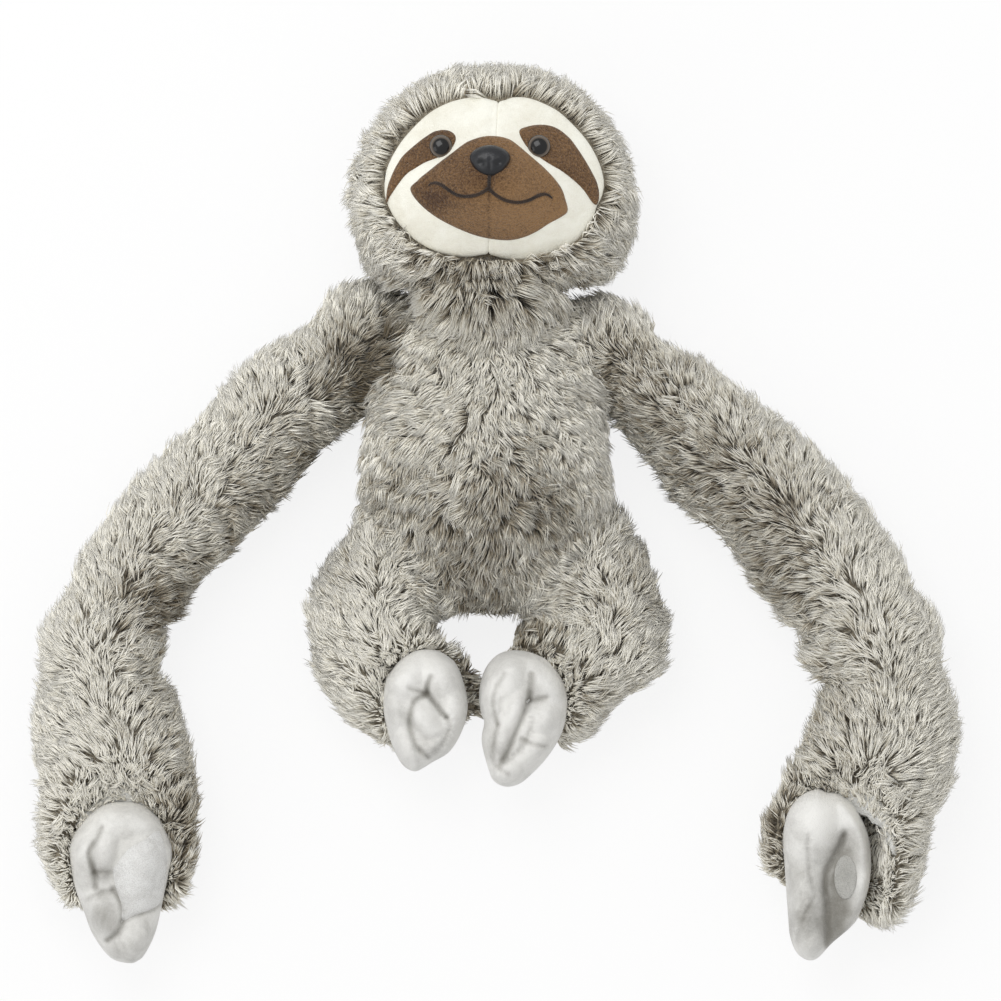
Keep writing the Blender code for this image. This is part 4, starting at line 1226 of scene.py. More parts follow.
@dataclass
class Furred:
    """A stuffed and furred part of the toy, with its skin, its filling and its coat."""

    finishes: Finishes
    skin: Skin = field(init=False)

    name = ""
    body = ""
    fill = 0.7
    inset = 0.0052

    def ride(self, piece: bpy.types.Object, slot: str, nodes: Sequence[str] = ()) -> None:
        """Finishes one piece on this part's body, hiding the CAD nodes that it stands for."""
        finish_piece(piece, self.body, nodes)

    def stuff(self, nodes: Sequence[str], *form: object,
              shape: Callable[[Array], Array] | None = None) -> None:
        """Builds the skin, and the filling where there is one.

        Args:
            nodes: The CAD nodes of the cover and the stuffing.
            form: What the skin needs after its inset.
            shape: A last change of the filling's form.
        """
        self.skin = Skin(self.name + "_skin", nodes, self.finishes, self.inset, *form)
        covers = [node for node in nodes if node.endswith("_cover")] or nodes
        self.ride(self.skin.piece, "grey_fur", covers)
        inner = [node for node in nodes if node not in covers]
        if inner:
            self.ride(self.skin.filling(self.name + "_filling", shape), "fibre_filling", inner)

    def grow(self, comb: Callable[[Array], Array], others: Sequence[Skin], seed: int, *,
             tone: Callable[[Array], Array] = fur_tone_and_shade, **values: object) -> None:
        """Grows the coat.

        Args:
            comb: How the fur lies.
            others: The skins that it stays clear of.
            seed: The start of its random draws.
            tone: How pale it is drawn, with its painted shade.
            values: The coat's other settings.
        """
        coat = Coat(self.name, self.skin, comb, tone, seed=seed, others=others, **values)
        for piece in coat.grow():
            self.ride(piece, "grey_fur")


class Torso(Furred):
    """The stuffed body with its centre parting."""

    name = body = "torso"

    def build(self) -> None:
        """Builds the skin."""
        near = ["%s_%s_cover" % (part, side.value) for part in ("upper_arm", "leg") for side in Side]
        self.stuff(("torso_cover", "torso_stuffing"), [*near, "neck_stuffing"], TORSO_NUDGES)

    @staticmethod
    def comb(places: Array) -> Array:
        """Combs the fur down and out from the centre parting."""
        side = np.tanh(places[:, 0] / 0.016)
        spread = 0.75 + 0.25 * np.tanh((places[:, 1] - 0.03) / 0.03)
        made = np.zeros_like(places)
        made[:, 0] = 0.78 * side * spread * np.clip((0.085 - places[:, 1]) / 0.05, 0.3, 1)
        made[:, 1] = -0.62 + 0.5 * np.clip((places[:, 1] - 0.045) / 0.03, 0, 1)
        made[:, 2] = -0.1
        return made

    def dress(self, others: Sequence[Skin]) -> None:
        """Grows the coat, clear of its neighbours."""
        self.grow(self.comb, others, 11, front_density=1.15)


class Neck(Furred):
    """The short furred neck between head and torso."""

    name = body = "neck"
    inset = 0.001

    def build(self) -> None:
        """Builds the skin."""
        self.stuff(("neck_stuffing",))

    @staticmethod
    def comb(places: Array) -> Array:
        """Combs the neck's fur down over the chest."""
        made = np.zeros_like(places)
        made[:, 0] = places[:, 0] / 0.05
        made[:, 1] = -1.0
        return made

    def dress(self, others: Sequence[Skin]) -> None:
        """Grows the few strands that show between ruff and chest."""
        self.grow(self.comb, others, 12, front_density=1.6, back_density=1.0, length=0.017, lean=0.62,
                  sink=0.012)


@dataclass(frozen=True)
class FaceForm:
    """The crowned oval of the face and its raised muzzle."""

    centre_x: float = 0.001
    centre_y: float = 0.137
    half_width: float = 0.0545
    half_length: float = 0.0405
    edge: float = 0.078
    rise: float = 0.016
    muzzle_y: float = 0.1315
    muzzle_width: float = 0.0385
    muzzle_length: float = 0.026
    muzzle_rise: float = 0.012
    muzzle_fall: float = 1.6

    def height(self, places: Array) -> Array:
        """Gives the height of the face cloth at each place."""
        a = (places[:, 0] - self.centre_x) / self.half_width
        b = (places[:, 1] - self.centre_y) / self.half_length
        c = places[:, 0] / self.muzzle_width
        d = (places[:, 1] - self.muzzle_y) / self.muzzle_length
        seam = -0.0007 * np.exp(-((places[:, 0] - self.centre_x) / 0.0016) ** 2)
        return (self.edge + self.rise * (1 - a * a - b * b)
                + self.muzzle_rise * np.exp(-self.muzzle_fall * (c * c + d * d)) + seam)

    def half(self, side: Side) -> tuple:
        """Gives one half of the outline, closed along the centre seam, in millimetres."""
        seam = tuple((-0.8 + 4.9 * k / 10, 100.9 + 74.4 * k / 10) for k in range(11))
        outer = FACE_RIGHT_MM if side is Side.RIGHT else FACE_LEFT_MM
        return (*outer, *seam)


FACE_RIGHT_MM = ((0.9, 176.9), (-5.8, 178.3), (-13.8, 177.5), (-21.7, 175.1), (-29.7, 170.8),
                 (-36.9, 164.4), (-43.3, 157.2), (-48, 150), (-51.2, 142.9), (-52.4, 136.5), (-52.4, 130.1),
                 (-50.8, 124.5), (-48, 118.9), (-43.3, 112.6), (-36.1, 106.2), (-28.1, 101.8),
                 (-20.1, 99.4), (-12.2, 98.6), (-4.2, 99.6))
FACE_LEFT_MM = ((7.6, 176.9), (11.6, 178.2), (18.1, 178.1), (26.1, 175.5), (34.1, 171.2), (41.2, 164.8),
                (47.6, 157.6), (52.4, 150), (55.6, 142.1), (56.8, 134.9), (55.6, 128.5), (53.2, 123.7),
                (51.6, 118.1), (47.6, 111), (42, 105.4), (34.1, 100.6), (26.1, 97.8), (18.1, 96.6),
                (10.2, 97), (3.4, 98.8))
FACE_EDGE = Curve2((*FACE_LEFT_MM, *FACE_RIGHT_MM[::-1]), True, 6)
MUZZLE_MM = ((-39.7, 132.5), (-36.1, 136.5), (-32.1, 140.1), (-14.6, 153.6), (-9, 156.8), (-2.6, 158.6),
             (3.8, 158.6), (9.4, 157.2), (14.1, 154), (26.1, 143.7), (31.7, 138.1), (35.7, 132.5),
             (37.7, 126.9), (38.7, 121.3), (34.9, 118.1), (29.3, 115), (22.9, 111), (16.5, 108.2),
             (8.6, 106.8), (-1.8, 107.9), (-12.2, 111), (-26.5, 118.1), (-36.1, 126.1))
PATCH_RIGHT_MM = ((-51.6, 125.3), (-51.4, 131.7), (-49.6, 138.1), (-46.4, 144.5), (-41.7, 150.8),
                  (-30.5, 159.6), (-25.7, 161.6), (-20.9, 161.6), (-17.7, 159.6), (-17, 156.8),
                  (-18.5, 153.2), (-21.7, 149.6), (-31.3, 146), (-36.9, 142.9), (-42.5, 138.9),
                  (-50, 128.5))
PATCH_LEFT_MM = ((14.5, 161.2), (18.9, 163.6), (25.3, 164.5), (31.7, 163.6), (37.3, 160), (42.8, 154),
                 (51.6, 139.7), (54, 133.3), (54.4, 128.5), (53.4, 124.7), (51, 125.8), (46.8, 131.7),
                 (42, 136.5), (35.7, 141.3), (30.1, 144.5), (21.3, 150.4), (17.3, 154.8))
SMILE_RIGHT_MM = ((-30.5, 134.1), (-28.9, 135.2), (-24.9, 134.7), (-17.7, 129.9), (-13.8, 128.7),
                  (-9, 128.7), (-5, 129.9), (-0.6, 132.5))
SMILE_LEFT_MM = ((-0.6, 132.5), (2.2, 129.7), (6.2, 127.2), (10.2, 125.9), (14.9, 125.6), (19.7, 126.8),
                 (23.7, 128.8), (26.9, 129.7), (29.3, 129.1), (30.9, 127.7))
PHILTRUM_MM = ((-0.2, 139.5), (-0.4, 135.5), (-0.6, 131.9))


@dataclass
class Face:
    """The pale face cloth with its patches, muzzle, eyes, nose and sewn mouth."""

    finishes: Finishes
    form: FaceForm = FaceForm()
    cloth: float = 0.0016
    lift: float = 0.0009
    eye_radius: float = 0.0058
    eye_rise: float = 0.0044
    eye_x: float = 0.0244
    eye_y: float = 0.1535
    nose_y: float = 0.1458

    def build(self) -> None:
        """Builds every piece of the face."""
        for side in Side:
            self._panel(side)
            self._patch(side)
            self._eye(side)
        self._muzzle()
        self._nose()
        self._stitches("smile_stitches", (SMILE_RIGHT_MM, SMILE_LEFT_MM), "smile_stitching", (True, True))
        self._stitches("philtrum_stitches", (PHILTRUM_MM,), "philtrum_stitching", (False,))

    def _panel(self, side: Side) -> None:
        """Builds one half of the pale cloth, rolled in at its edge and sunk at its seam."""
        panel = Panel(Curve2(self.form.half(side), True, 4), 0.0013, (0.0003, 0.0008, 0.0016))
        roll = dome(panel.depth / 0.0022)
        rim = np.exp(-(FACE_EDGE.near(panel.points)[0] / 0.006) ** 2)
        drop = 0.0005 + 0.0013 * rim
        top = self.form.height(panel.points) - drop * (1 - roll) + self._drawn(panel.points)
        wave = 0.00022 * np.sin(panel.points[:, 0] * 310 + 1.3) * np.sin(panel.points[:, 1] * 260)
        bottom = top - self.cloth - 0.004 * rim
        piece = panel.closed("face_cloth_" + side.value, top + wave, bottom, self.finishes["cream"])
        finish_piece(piece, "head", ("face_panel_" + side.value,))

    @staticmethod
    def _drawn(places: Array) -> Array:
        """Gives how far the mouth's stitches draw the cloth in."""
        lines = (SMILE_RIGHT_MM, SMILE_LEFT_MM, PHILTRUM_MM)
        return sum(Stroke(line, 1.9, -0.7).press(places) for line in lines)

    def _raised(self, name: str, outline: Points, node: str, lift: float) -> None:
        """Builds a cloth shape sewn on the face.

        Args:
            name: The piece's name.
            outline: Its edge, in millimetres.
            node: The CAD node that it stands for.
            lift: How far it stands above the pale cloth.
        """
        panel = Panel(Curve2(outline, True, 5), 0.0009, (0.00025, 0.0006, 0.0012))
        roll = dome(panel.depth / 0.0016)
        base = self.form.height(panel.points) + self._drawn(panel.points)
        piece = panel.closed(name, base + lift * roll, base - 0.0008, self.finishes["brown"])
        x, y = np.array([v.co[:2] for v in piece.data.vertices]).T / MM
        # The muzzle's nap: paler towards the toy's left, painted shade just below the nose, paler towards
        # the chin, darker low on the toy's right and along the centre seam under the mouth; the eye patches
        # stay even.
        nap = 0.52 + 0.2 * np.tanh((x + 2) / 17) - 0.25 * np.exp(-(x / 11) ** 2 - ((y - 139) / 7) ** 2)
        nap = nap + 0.15 * np.exp(-((y - 117) / 9) ** 2)
        nap = nap - 0.3 * np.exp(-((x + 26) / 9) ** 2 - ((y - 127) / 6) ** 2)
        nap = nap - 0.2 * np.exp(-((x + 0.6) / 0.6) ** 2) * (y < 131)
        nap = np.where(lift > self.lift, nap, 0.36)
        piece.data.attributes.new("nap", "FLOAT", "POINT").data.foreach_set("value", nap)
        finish_piece(piece, "head", (node,))

    def _patch(self, side: Side) -> None:
        """Builds one eye patch."""
        outline = PATCH_RIGHT_MM if side is Side.RIGHT else PATCH_LEFT_MM
        self._raised("eye_cloth_" + side.value, outline, "eye_patch_" + side.value, self.lift)

    def _muzzle(self) -> None:
        """Builds the muzzle cloth."""
        self._raised("muzzle_cloth", MUZZLE_MM, "muzzle_panel", self.lift * 1.3)

    def _eye(self, side: Side) -> None:
        """Builds one domed eye on its stem."""
        centre = (side.sign * self.eye_x, self.eye_y)
        seat = float(self.form.height(np.array([centre]))[0]) + self.lift
        radius = self.eye_radius
        profile = [(0.0015, seat - 0.010), (0.0015, seat - 0.0006), (radius * 0.9, seat - 0.0006),
                   (radius, seat), (radius, seat + 0.0006)]
        for step in range(1, 9):
            turn = math.pi / 2 * step / 8.6
            rise = (self.eye_rise - 0.0006) * math.sin(turn)
            profile.append((radius * math.cos(turn), seat + 0.0006 + rise))
        finish = EyeFinish("glossy_eye_" + side.value, centre, radius).build(self.finishes.groups)
        piece = Bench.turned("eye_dome_" + side.value, centre, profile, finish)
        finish_piece(piece, "head", ("eye_" + side.value,))

    def _nose(self) -> None:
        """Builds the moulded nose: a soft triangle with two nostrils."""
        seat = float(self.form.height(np.array([(0.0, self.nose_y)]))[0]) + self.lift
        rings, sides = 18, 56
        angles = [TAU * k / sides for k in range(sides)]
        points = [(radius * math.cos(angle), self.nose_y + radius * math.sin(angle), seat + height)
                  for radius, height in ((0.0015, -0.0100), (0.0015, -0.0004), (0.0060, -0.0004))
                  for angle in angles]
        for turn in (math.pi / 2 * ring / rings for ring in range(rings + 1)):
            for angle in angles:
                wide = 0.0098 * (1 + 0.16 * math.sin(angle) - 0.05 * math.cos(3 * (angle - math.pi / 2)))
                tall = 0.0080 * (1 - 0.04 * math.cos(2 * angle))
                share = math.cos(turn) ** 0.9
                x, y = math.cos(angle) * wide * share, math.sin(angle) * tall * share
                z = 0.0066 * math.sin(turn) ** 0.85
                for sign in (-1, 1):
                    far = ((x - sign * 0.0042) / 0.0017) ** 2 + ((y + 0.0012 - abs(x) * 0.12) / 0.0013) ** 2
                    z -= 0.0013 * math.exp(-far)
                z -= 0.0006 * math.exp(-((x / 0.0009) ** 2)) * (1 if y < 0 else math.exp(-(y / 0.002) ** 2))
                points.append((x, self.nose_y + y, seat + z))
        faces = [tuple(range(sides))[::-1], *tube(0, rings + 4, sides)]
        piece = Bench.add("nose_form", np.array(points), faces, self.finishes["nose"])
        Bench.merge(piece, 0.000001, outward=True)
        finish_piece(piece, "head", ("nose",))

    def _stitches(self, name: str, lines: Sequence[Points], node: str, tapered: Sequence[bool]) -> None:
        """Sews a line of satin stitch by copying one rounded stitch.

        Args:
            name: The piece's name.
            lines: The lines to sew, in millimetres.
            node: The CAD node that it stands for.
            tapered: Whether each line narrows at its free end.
        """
        rings = ((-1.0, 0.25), (-0.8, 0.8), (-0.3, 1.0), (0.3, 1.0), (0.8, 0.8), (1.0, 0.25))
        points, faces = [], []
        for line, taper in zip(lines, tapered):
            path = Curve2(line, steps=8).evened(0.00042)
            ways = np.gradient(path, axis=0)
            free_end = 0 if line is SMILE_RIGHT_MM else len(path) - 1
            for index, (place, way) in enumerate(zip(path, ways)):
                way = way / np.linalg.norm(way)
                across = np.array([-way[1], way[0]]) + 0.35 * way
                away = abs(index - free_end) / 12
                half = 0.00088 * (min(1.0, 0.45 + 0.55 * away) if taper else 1.0)
                seat = float(self.form.height(place[None, :])[0]) + self.lift * 1.3 - 0.0004
                start = len(points)
                for share, girth in rings:
                    spot = place + across * half * share
                    for k in range(6):
                        angle = TAU * k / 6
                        side = way * 0.00026 * girth * math.cos(angle)
                        lift = 0.00034 * (1 - share * share * 0.7) + 0.00030 * girth * math.sin(angle)
                        points.append((spot[0] + side[0], spot[1] + side[1], seat + lift))
                faces += tube(start, len(rings), 6)
                faces.append(tuple(start + k for k in range(6))[::-1])
                faces.append(tuple(start + (len(rings) - 1) * 6 + k for k in range(6)))
        piece = Bench.add(name, np.array(points), faces, self.finishes["thread"])
        Bench.merge(piece, 0.000001, outward=True)
        finish_piece(piece, "head", (node,))


class Head(Furred):
    """The furred head behind the face."""

    name = body = "head"
    fill = 0.8
    form = FaceForm()

    def build(self) -> None:
        """Builds the skin."""
        self.stuff(("head_cover", "head_stuffing"), ("neck_stuffing",), HEAD_NUDGES, shape=self._fill_face)

    def _fill_face(self, places: Array) -> Array:
        """Raises the filling under the face cloth, and sinks it round the cloth's edge."""
        near = FACE_EDGE.near(places[:, :2])[0]
        front = places[:, 2] > 0.05
        share = np.clip((near - 0.0065) / 0.007, 0, 1) * (FACE_EDGE.holds(places[:, :2]) & front)
        places[:, 2] -= 0.008 * np.exp(-(near / 0.009) ** 2) * front
        full = self.form.height(places[:, :2]) - 0.0024
        places[:, 2] += np.maximum(full - places[:, 2], 0) * share
        return places

    def comb(self, places: Array) -> Array:
        """Combs the fur away from the face on every side."""
        made = np.zeros_like(places)
        made[:, 0] = (places[:, 0] - self.form.centre_x) / self.form.half_width
        made[:, 1] = (places[:, 1] - self.form.centre_y) / self.form.half_length
        made = unit(made)
        made[:, 2] = -0.15
        return made

    def cut(self, roots: Roots) -> Array:
        """Keeps roots outside the face's outline."""
        return ~(FACE_EDGE.holds(roots.places[:, :2]) & (roots.places[:, 2] > 0.045))

    def dress(self, others: Sequence[Skin]) -> None:
        """Grows the coat round the face."""
        self.grow(self.comb, others, 13, cut=self.cut, front_density=1.3, lean=0.91, length=0.0128)


ARM_ROUTE_MM = {
    Side.RIGHT: ((-61.4, 54.0), (-99.4, 21.6), (-135.7, -12.8), (-169.3, -49.8), (-187.4, -73.7),
                 (-193.9, -94.6), (-194.4, -117.5), (-190.1, -142.1), (-185.6, -166.7), (-183.4, -193.6),
                 (-181.0, -232.6)),
    Side.LEFT: ((61.4, 54.0), (98.1, 20.1), (135.1, -13.6), (169.4, -49.9), (186.4, -74.6), (195.1, -94.7),
                (199.0, -117.3), (196.6, -142.1), (189.6, -166.1), (179.7, -191.2), (168.4, -228.5)),
}
LEG_ROUTE_MM = {
    Side.RIGHT: ((-44.9, -55.0), (-56.3, -76.9), (-56.4, -101.7), (-45.1, -123.8), (-23.2, -139.0)),
    Side.LEFT: ((44.9, -55.0), (56.3, -76.9), (56.4, -101.7), (45.1, -123.8), (23.2, -139.0)),
}


class LimbComb:
    """Combs a limb's fur out from its middle line, back from its end, and away from its paw or foot."""

    def __init__(self, route: Points, end: Curve2, back: float) -> None:
        """Keeps the limb's line and the outline of its paw or foot.

        Args:
            route: The middle line, in millimetres.
            end: The paw's or foot's outline.
            back: How much the fur lies back along the limb.
        """
        self.route = Curve2(route, steps=8)
        self.end = end
        self.centre = end.points.mean(0)
        self.back = back

    def offset(self, places: Array) -> tuple[Array, Array]:
        """Gives each place's sideways offset from the middle line, and the line's direction there."""
        flat = places[:, :2]
        _, arc, spot = self.route.near(flat)
        ahead = np.gradient(self.route.points, axis=0)
        _, arcs = self.route.arcs()
        way = np.stack([np.interp(arc, arcs, ahead[:, i]) for i in (0, 1)], 1)
        return flat - spot, unit(way, 0.0)

    def __call__(self, places: Array) -> Array:
        """Gives the combed direction at each place."""
        away, way = self.offset(places)
        size = np.linalg.norm(away, axis=1)
        out = away / np.maximum(size, 1e-6)[:, None] * np.clip(size / 0.032, 0, 1)[:, None]
        made = np.zeros_like(places)
        made[:, :2] = 0.9 * out - self.back * way
        far, _, _ = self.end.near(places[:, :2])
        far = np.where(self.end.holds(places[:, :2]), 0.0, far)
        near = np.exp(-(far / 0.016) ** 2)[:, None]
        radial = places[:, :2] - self.centre
        made[:, :2] = made[:, :2] * (1 - near) + unit(radial) * near
        made[:, 2] = -0.1
        return made

@dataclass
class Limb(Furred):
    """An arm or a leg: one continuous stuffed tube with its coat."""

    side: Side
    end: Curve2

    fill = 0.6
    part = ""
    routes = {}
    back = 0.0
    outer_tone_and_shade = 0.0
    seed = 0
    density = 0.96

    def __post_init__(self) -> None:
        """Names the limb and the body that it rides on."""
        self.name = "%s_%s" % (self.part, self.side.value)
        self.body = "%s_%s" % (self.part, self.side.short)

    def _trim(self, places: Array) -> Array:
        """Shortens the fur under the paw or foot."""
        far, _, _ = self.end.near(places[:, :2])
        inside = self.end.holds(places[:, :2]) & (places[:, 2] > 0.008)
        return np.where(inside, 0.35, np.clip(0.6 + far / 0.02, 0.6, 1.0))

    def dress(self, others: Sequence[Skin]) -> None:
        """Grows the coat, paler on the limb's outer side and darker on its inner side, the darker side as
        painted shade towards the body.
        """
        comb = LimbComb(self.routes[self.side], self.end, self.back)
        sign = self.side.sign

        def tone(places: Array) -> Array:
            """Gives the tone at each place, with painted shade on the limb's inner side."""
            away, way = comb.offset(places)
            outer = np.stack([-way[:, 1] * sign, way[:, 0] * sign], 1)
            # Paler outside, and painted shade inside, across the limb's middle line.
            return fur_tone_and_shade(places) + self.outer_tone_and_shade * np.tanh((away * outer).sum(1) / 0.016)

        self.grow(comb, others, self.seed + sign, tone=tone, trim=self._trim, front_density=self.density)


class Arm(Limb):
    """A long arm from the shoulder to the fur sleeve behind the paw."""

    part, routes, back, outer_tone_and_shade, seed = "arm", ARM_ROUTE_MM, 0.42, 0.17, 20

    BLEND = 0.026

    def build(self) -> None:
        """Builds the continuous skin of upper arm and forearm."""
        side = self.side.value
        nodes = ["%s_%s_%s" % (part, side, kind) for part in ("upper_arm", "forearm")
                 for kind in ("cover", "stuffing")]
        self.stuff(nodes, ("torso_cover", "paw_%s_cover" % side), ARM_NUDGES[self.side], self.end, 0.037)

    def ride(self, piece: bpy.types.Object, slot: str, nodes: Sequence[str] = ()) -> None:
        """Finishes one piece: bakes its place into its mesh and hides the CAD nodes that it stands for."""
        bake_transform(piece)
        if nodes:
            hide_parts(*nodes)
        LOG.info("%s bends at the %s elbow", piece.name, self.side.value)


class Leg(Limb):
    """A short bent leg with the foot turned in."""

    part, routes, back, outer_tone_and_shade, seed, density = "leg", LEG_ROUTE_MM, 0.35, 0.08, 30, 1.1

    def build(self) -> None:
        """Builds the skin."""
        side = self.side.value
        self.stuff(("leg_%s_cover" % side, "leg_%s_stuffing" % side),
                   ("torso_cover", "foot_%s_cover" % side), LEG_NUDGES[self.side], self.end, 0.044)


# ---------------------------------------------------------------- paws and feet


@dataclass(frozen=True)
class Lobe:
    """One plump sewn lobe in millimetres: middle, half sizes, turn in degrees and rise."""

    x: float
    y: float
    long: float
    wide: float
    turn: float
    rise: float

    def swell(self, places: Array) -> Array:
        """Gives the lobe's height at each place, below 0 outside it."""
        way = math.radians(self.turn)
        x, y = places[:, 0] / MM - self.x, places[:, 1] / MM - self.y
        along = (x * math.cos(way) + y * math.sin(way)) / self.long
        across = (y * math.cos(way) - x * math.sin(way)) / self.wide
        return self.rise * (1 - along ** 2 - across ** 2)


@dataclass(frozen=True)
class PillowForm:
    """The outline, heights, lobes, sewn folds and spots of painted light and shade of one paw or foot, in
    millimetres.
    """

    outline: Points
    top: float
    middle: float
    bottom: float
    shoulder: float
    lobes: tuple[Lobe, ...]
    strokes: tuple[Stroke, ...]
    light_and_shade_spots: tuple[ToneAndShadeSpot, ...] = ()

    def swell(self, places: Array) -> Array:
        """Gives the height of all the lobes, blended where they meet."""
        total = np.ones(len(places))
        for lobe in self.lobes:
            total = total + np.exp(1.3 * np.maximum(lobe.swell(places), -9.0))
        return np.log(total) / 1.3

    def nap(self, places: Array) -> Array:
        """Gives the nap value at each place: painted shade in the folds, with the spots' painted light and
        shade.
        """
        made = np.full(len(places), 0.66)
        # Painted shade: each fold darkens the velour along its line.
        for stroke in self.strokes:
            if stroke.depth < 0:
                made = made + stroke.depth * 0.11 * stroke.mask(places, 1.1)[0]
        return np.clip(toned(made, places, self.light_and_shade_spots), 0.0, 1.0)


RIGHT_PAW = PillowForm(
    outline=((-188.5, -173.6), (-196.5, -176.9), (-203.5, -183.3), (-208.6, -191), (-210.2, -199),
             (-207.9, -215.1), (-203.2, -227.8), (-198.5, -239.9), (-189.8, -251.3), (-180.4, -254.1),
             (-176.1, -252.9), (-172.4, -249.3), (-167, -237.9), (-163, -219.8), (-159, -201),
             (-159.7, -193.7), (-163, -186.3), (-166.7, -180.6), (-175.7, -174.2)),
    top=54.0, middle=39.0, bottom=21.5, shoulder=13.0,
    lobes=rows(Lobe, (-203, -203.5, 15, 7, 82, 4.5), (-192.5, -197, 17, 6.8, 84, 6.5),
        (-180, -182, 19, 10, -12, 5), (-175, -207, 21, 12, 80, 6), (-193, -230, 13.5, 7.8, -54, 6),
        (-177, -243.5, 13, 9, 25, 4.5)),
    strokes=rows(Stroke,
        (((-194, -186), (-197, -193), (-200, -198), (-199, -204), (-197, -210), (-197, -216)), 1.3, -2.6),
        (((-198, -208.5), (-192.5, -208), (-187, -209)), 1.0, -1.2, 0.3, 1.6),
        (((-188, -217), (-184.5, -223), (-183.5, -230), (-185, -237), (-191, -242.5)), 1.3, -2.8),
        (((-189, -218), (-195, -219), (-201, -222)), 1.2, -1.8),
        (((-184, -233), (-178, -230.5), (-170, -228), (-165, -225)), 1.2, -1.8)),
    # Painted shade on the lower lobes, along a fold, on the outer lobe and towards the bottom; painted
    # light at the top.
    light_and_shade_spots=rows(ToneAndShadeSpot, (-193, -230, 9, -0.46), (-194, -208, 7, -0.24), (-204, -205, 8, -0.18),
        (-193, -180, 8, 0.10), (-172, -244, 9, -0.16), (-186, -249, 8, -0.18)),
)
LEFT_PAW = PillowForm(
    outline=((163.5, -166.9), (154.8, -170.6), (148.1, -180.9), (146.2, -195), (147.1, -203),
             (149.1, -231.8), (149.9, -239.9), (152.1, -246.6), (155.1, -250.6), (159.5, -252.7),
             (164.2, -251.3), (170.9, -244.2), (180.2, -236.2), (184.3, -230.5), (189.3, -216.4),
             (190.6, -201.7), (188.6, -188.3), (182.6, -176.3), (178.2, -171.9), (172.9, -169),
             (168.2, -168.6)),
    top=51.0, middle=39.0, bottom=21.5, shoulder=11.0,
    lobes=rows(Lobe, (160, -188, 22, 13, 74, 8.5), (156.5, -224, 25, 10.5, 88, 8.5),
        (161, -244, 9, 8, 40, 5)),
    strokes=rows(Stroke,
        (((177, -189), (175, -194.5), (171.5, -201), (168, -208), (167, -216), (168.5, -225),
         (168.5, -235), (168, -245)), 1.6, -3.0),
        (((177, -193), (174.5, -205), (173.5, -217), (174.5, -228), (173, -240)), 6.0, -4.5),
        (((176.5, -175), (182.5, -184), (186.5, -195), (187.8, -207.5), (186.5, -221), (182, -231.5),
         (176, -240)), 2.6, 2.8),
        (((158.8, -189.7), (158.9, -197.7), (160, -209.7), (162, -220.5), (158, -228), (155, -236.5),
         (153.4, -243.2)), 1.1, -0.9, 0.4, 2.0)),
    # Painted light on the ridge's top and on the palm's rim; painted shade lower down the ridge and in the
    # palm hollow.
    light_and_shade_spots=rows(ToneAndShadeSpot, (166, -178, 13, 0.36), (157, -210, 10, -0.22), (158, -233, 13, -0.32),
        (176, -206, 9, -0.20), (175, -226, 10, -0.22), (186, -212, 6, 0.16)),
)
RIGHT_FOOT = PillowForm(
    outline=((-36.6, -97.7), (-44.6, -102.2), (-50.6, -109.6), (-52.5, -114.3), (-53.4, -127),
             (-49.6, -143.1), (-45.6, -152.1), (-42.6, -155.9), (-39.2, -157.8), (-35.9, -157.8),
             (-29.2, -153.8), (-19.8, -147.8), (-13.1, -135.7), (-11.1, -123.7), (-13.8, -111.6),
             (-16.5, -105.2), (-19.2, -101.9), (-26.5, -97.7)),
    top=61.0, middle=46.0, bottom=27.0, shoulder=12.0,
    lobes=rows(Lobe, (-44, -111, 12, 10, 60, 5.5), (-23, -110, 12, 10, -70, 5.5),
        (-17.5, -127, 12, 6.8, 80, 4.5), (-31.5, -133.5, 12.5, 6.8, -50, 6.5),
        (-49, -128, 12, 6, -78, 4.5), (-43, -146, 11, 7.5, -60, 5.5), (-27, -146, 11, 5.5, 35, 4.5)),
    strokes=rows(Stroke, (((-40, -116.5), (-36, -118), (-31.5, -119)), 1.2, -2.4),
        (((-29.5, -111), (-31, -115), (-31, -119), (-28, -123.5), (-24.5, -128),
         (-21.5, -131)), 1.3, -3.2),
        (((-33, -120.3), (-37, -122.5), (-39, -127), (-40, -134), (-38.5, -141), (-36, -146.5),
         (-31, -150.5)), 1.3, -2.8),
        (((-22, -130.5), (-20, -135), (-22.5, -142), (-26.5, -147), (-31, -150.5)), 1.2, -1.4, 0.6, 2.2)),
    # Painted shade at two folds, painted light at the top.
    light_and_shade_spots=rows(ToneAndShadeSpot, (-31, -120, 5, -0.15), (-24, -145, 7, -0.12), (-38, -107, 10, 0.1)),
)
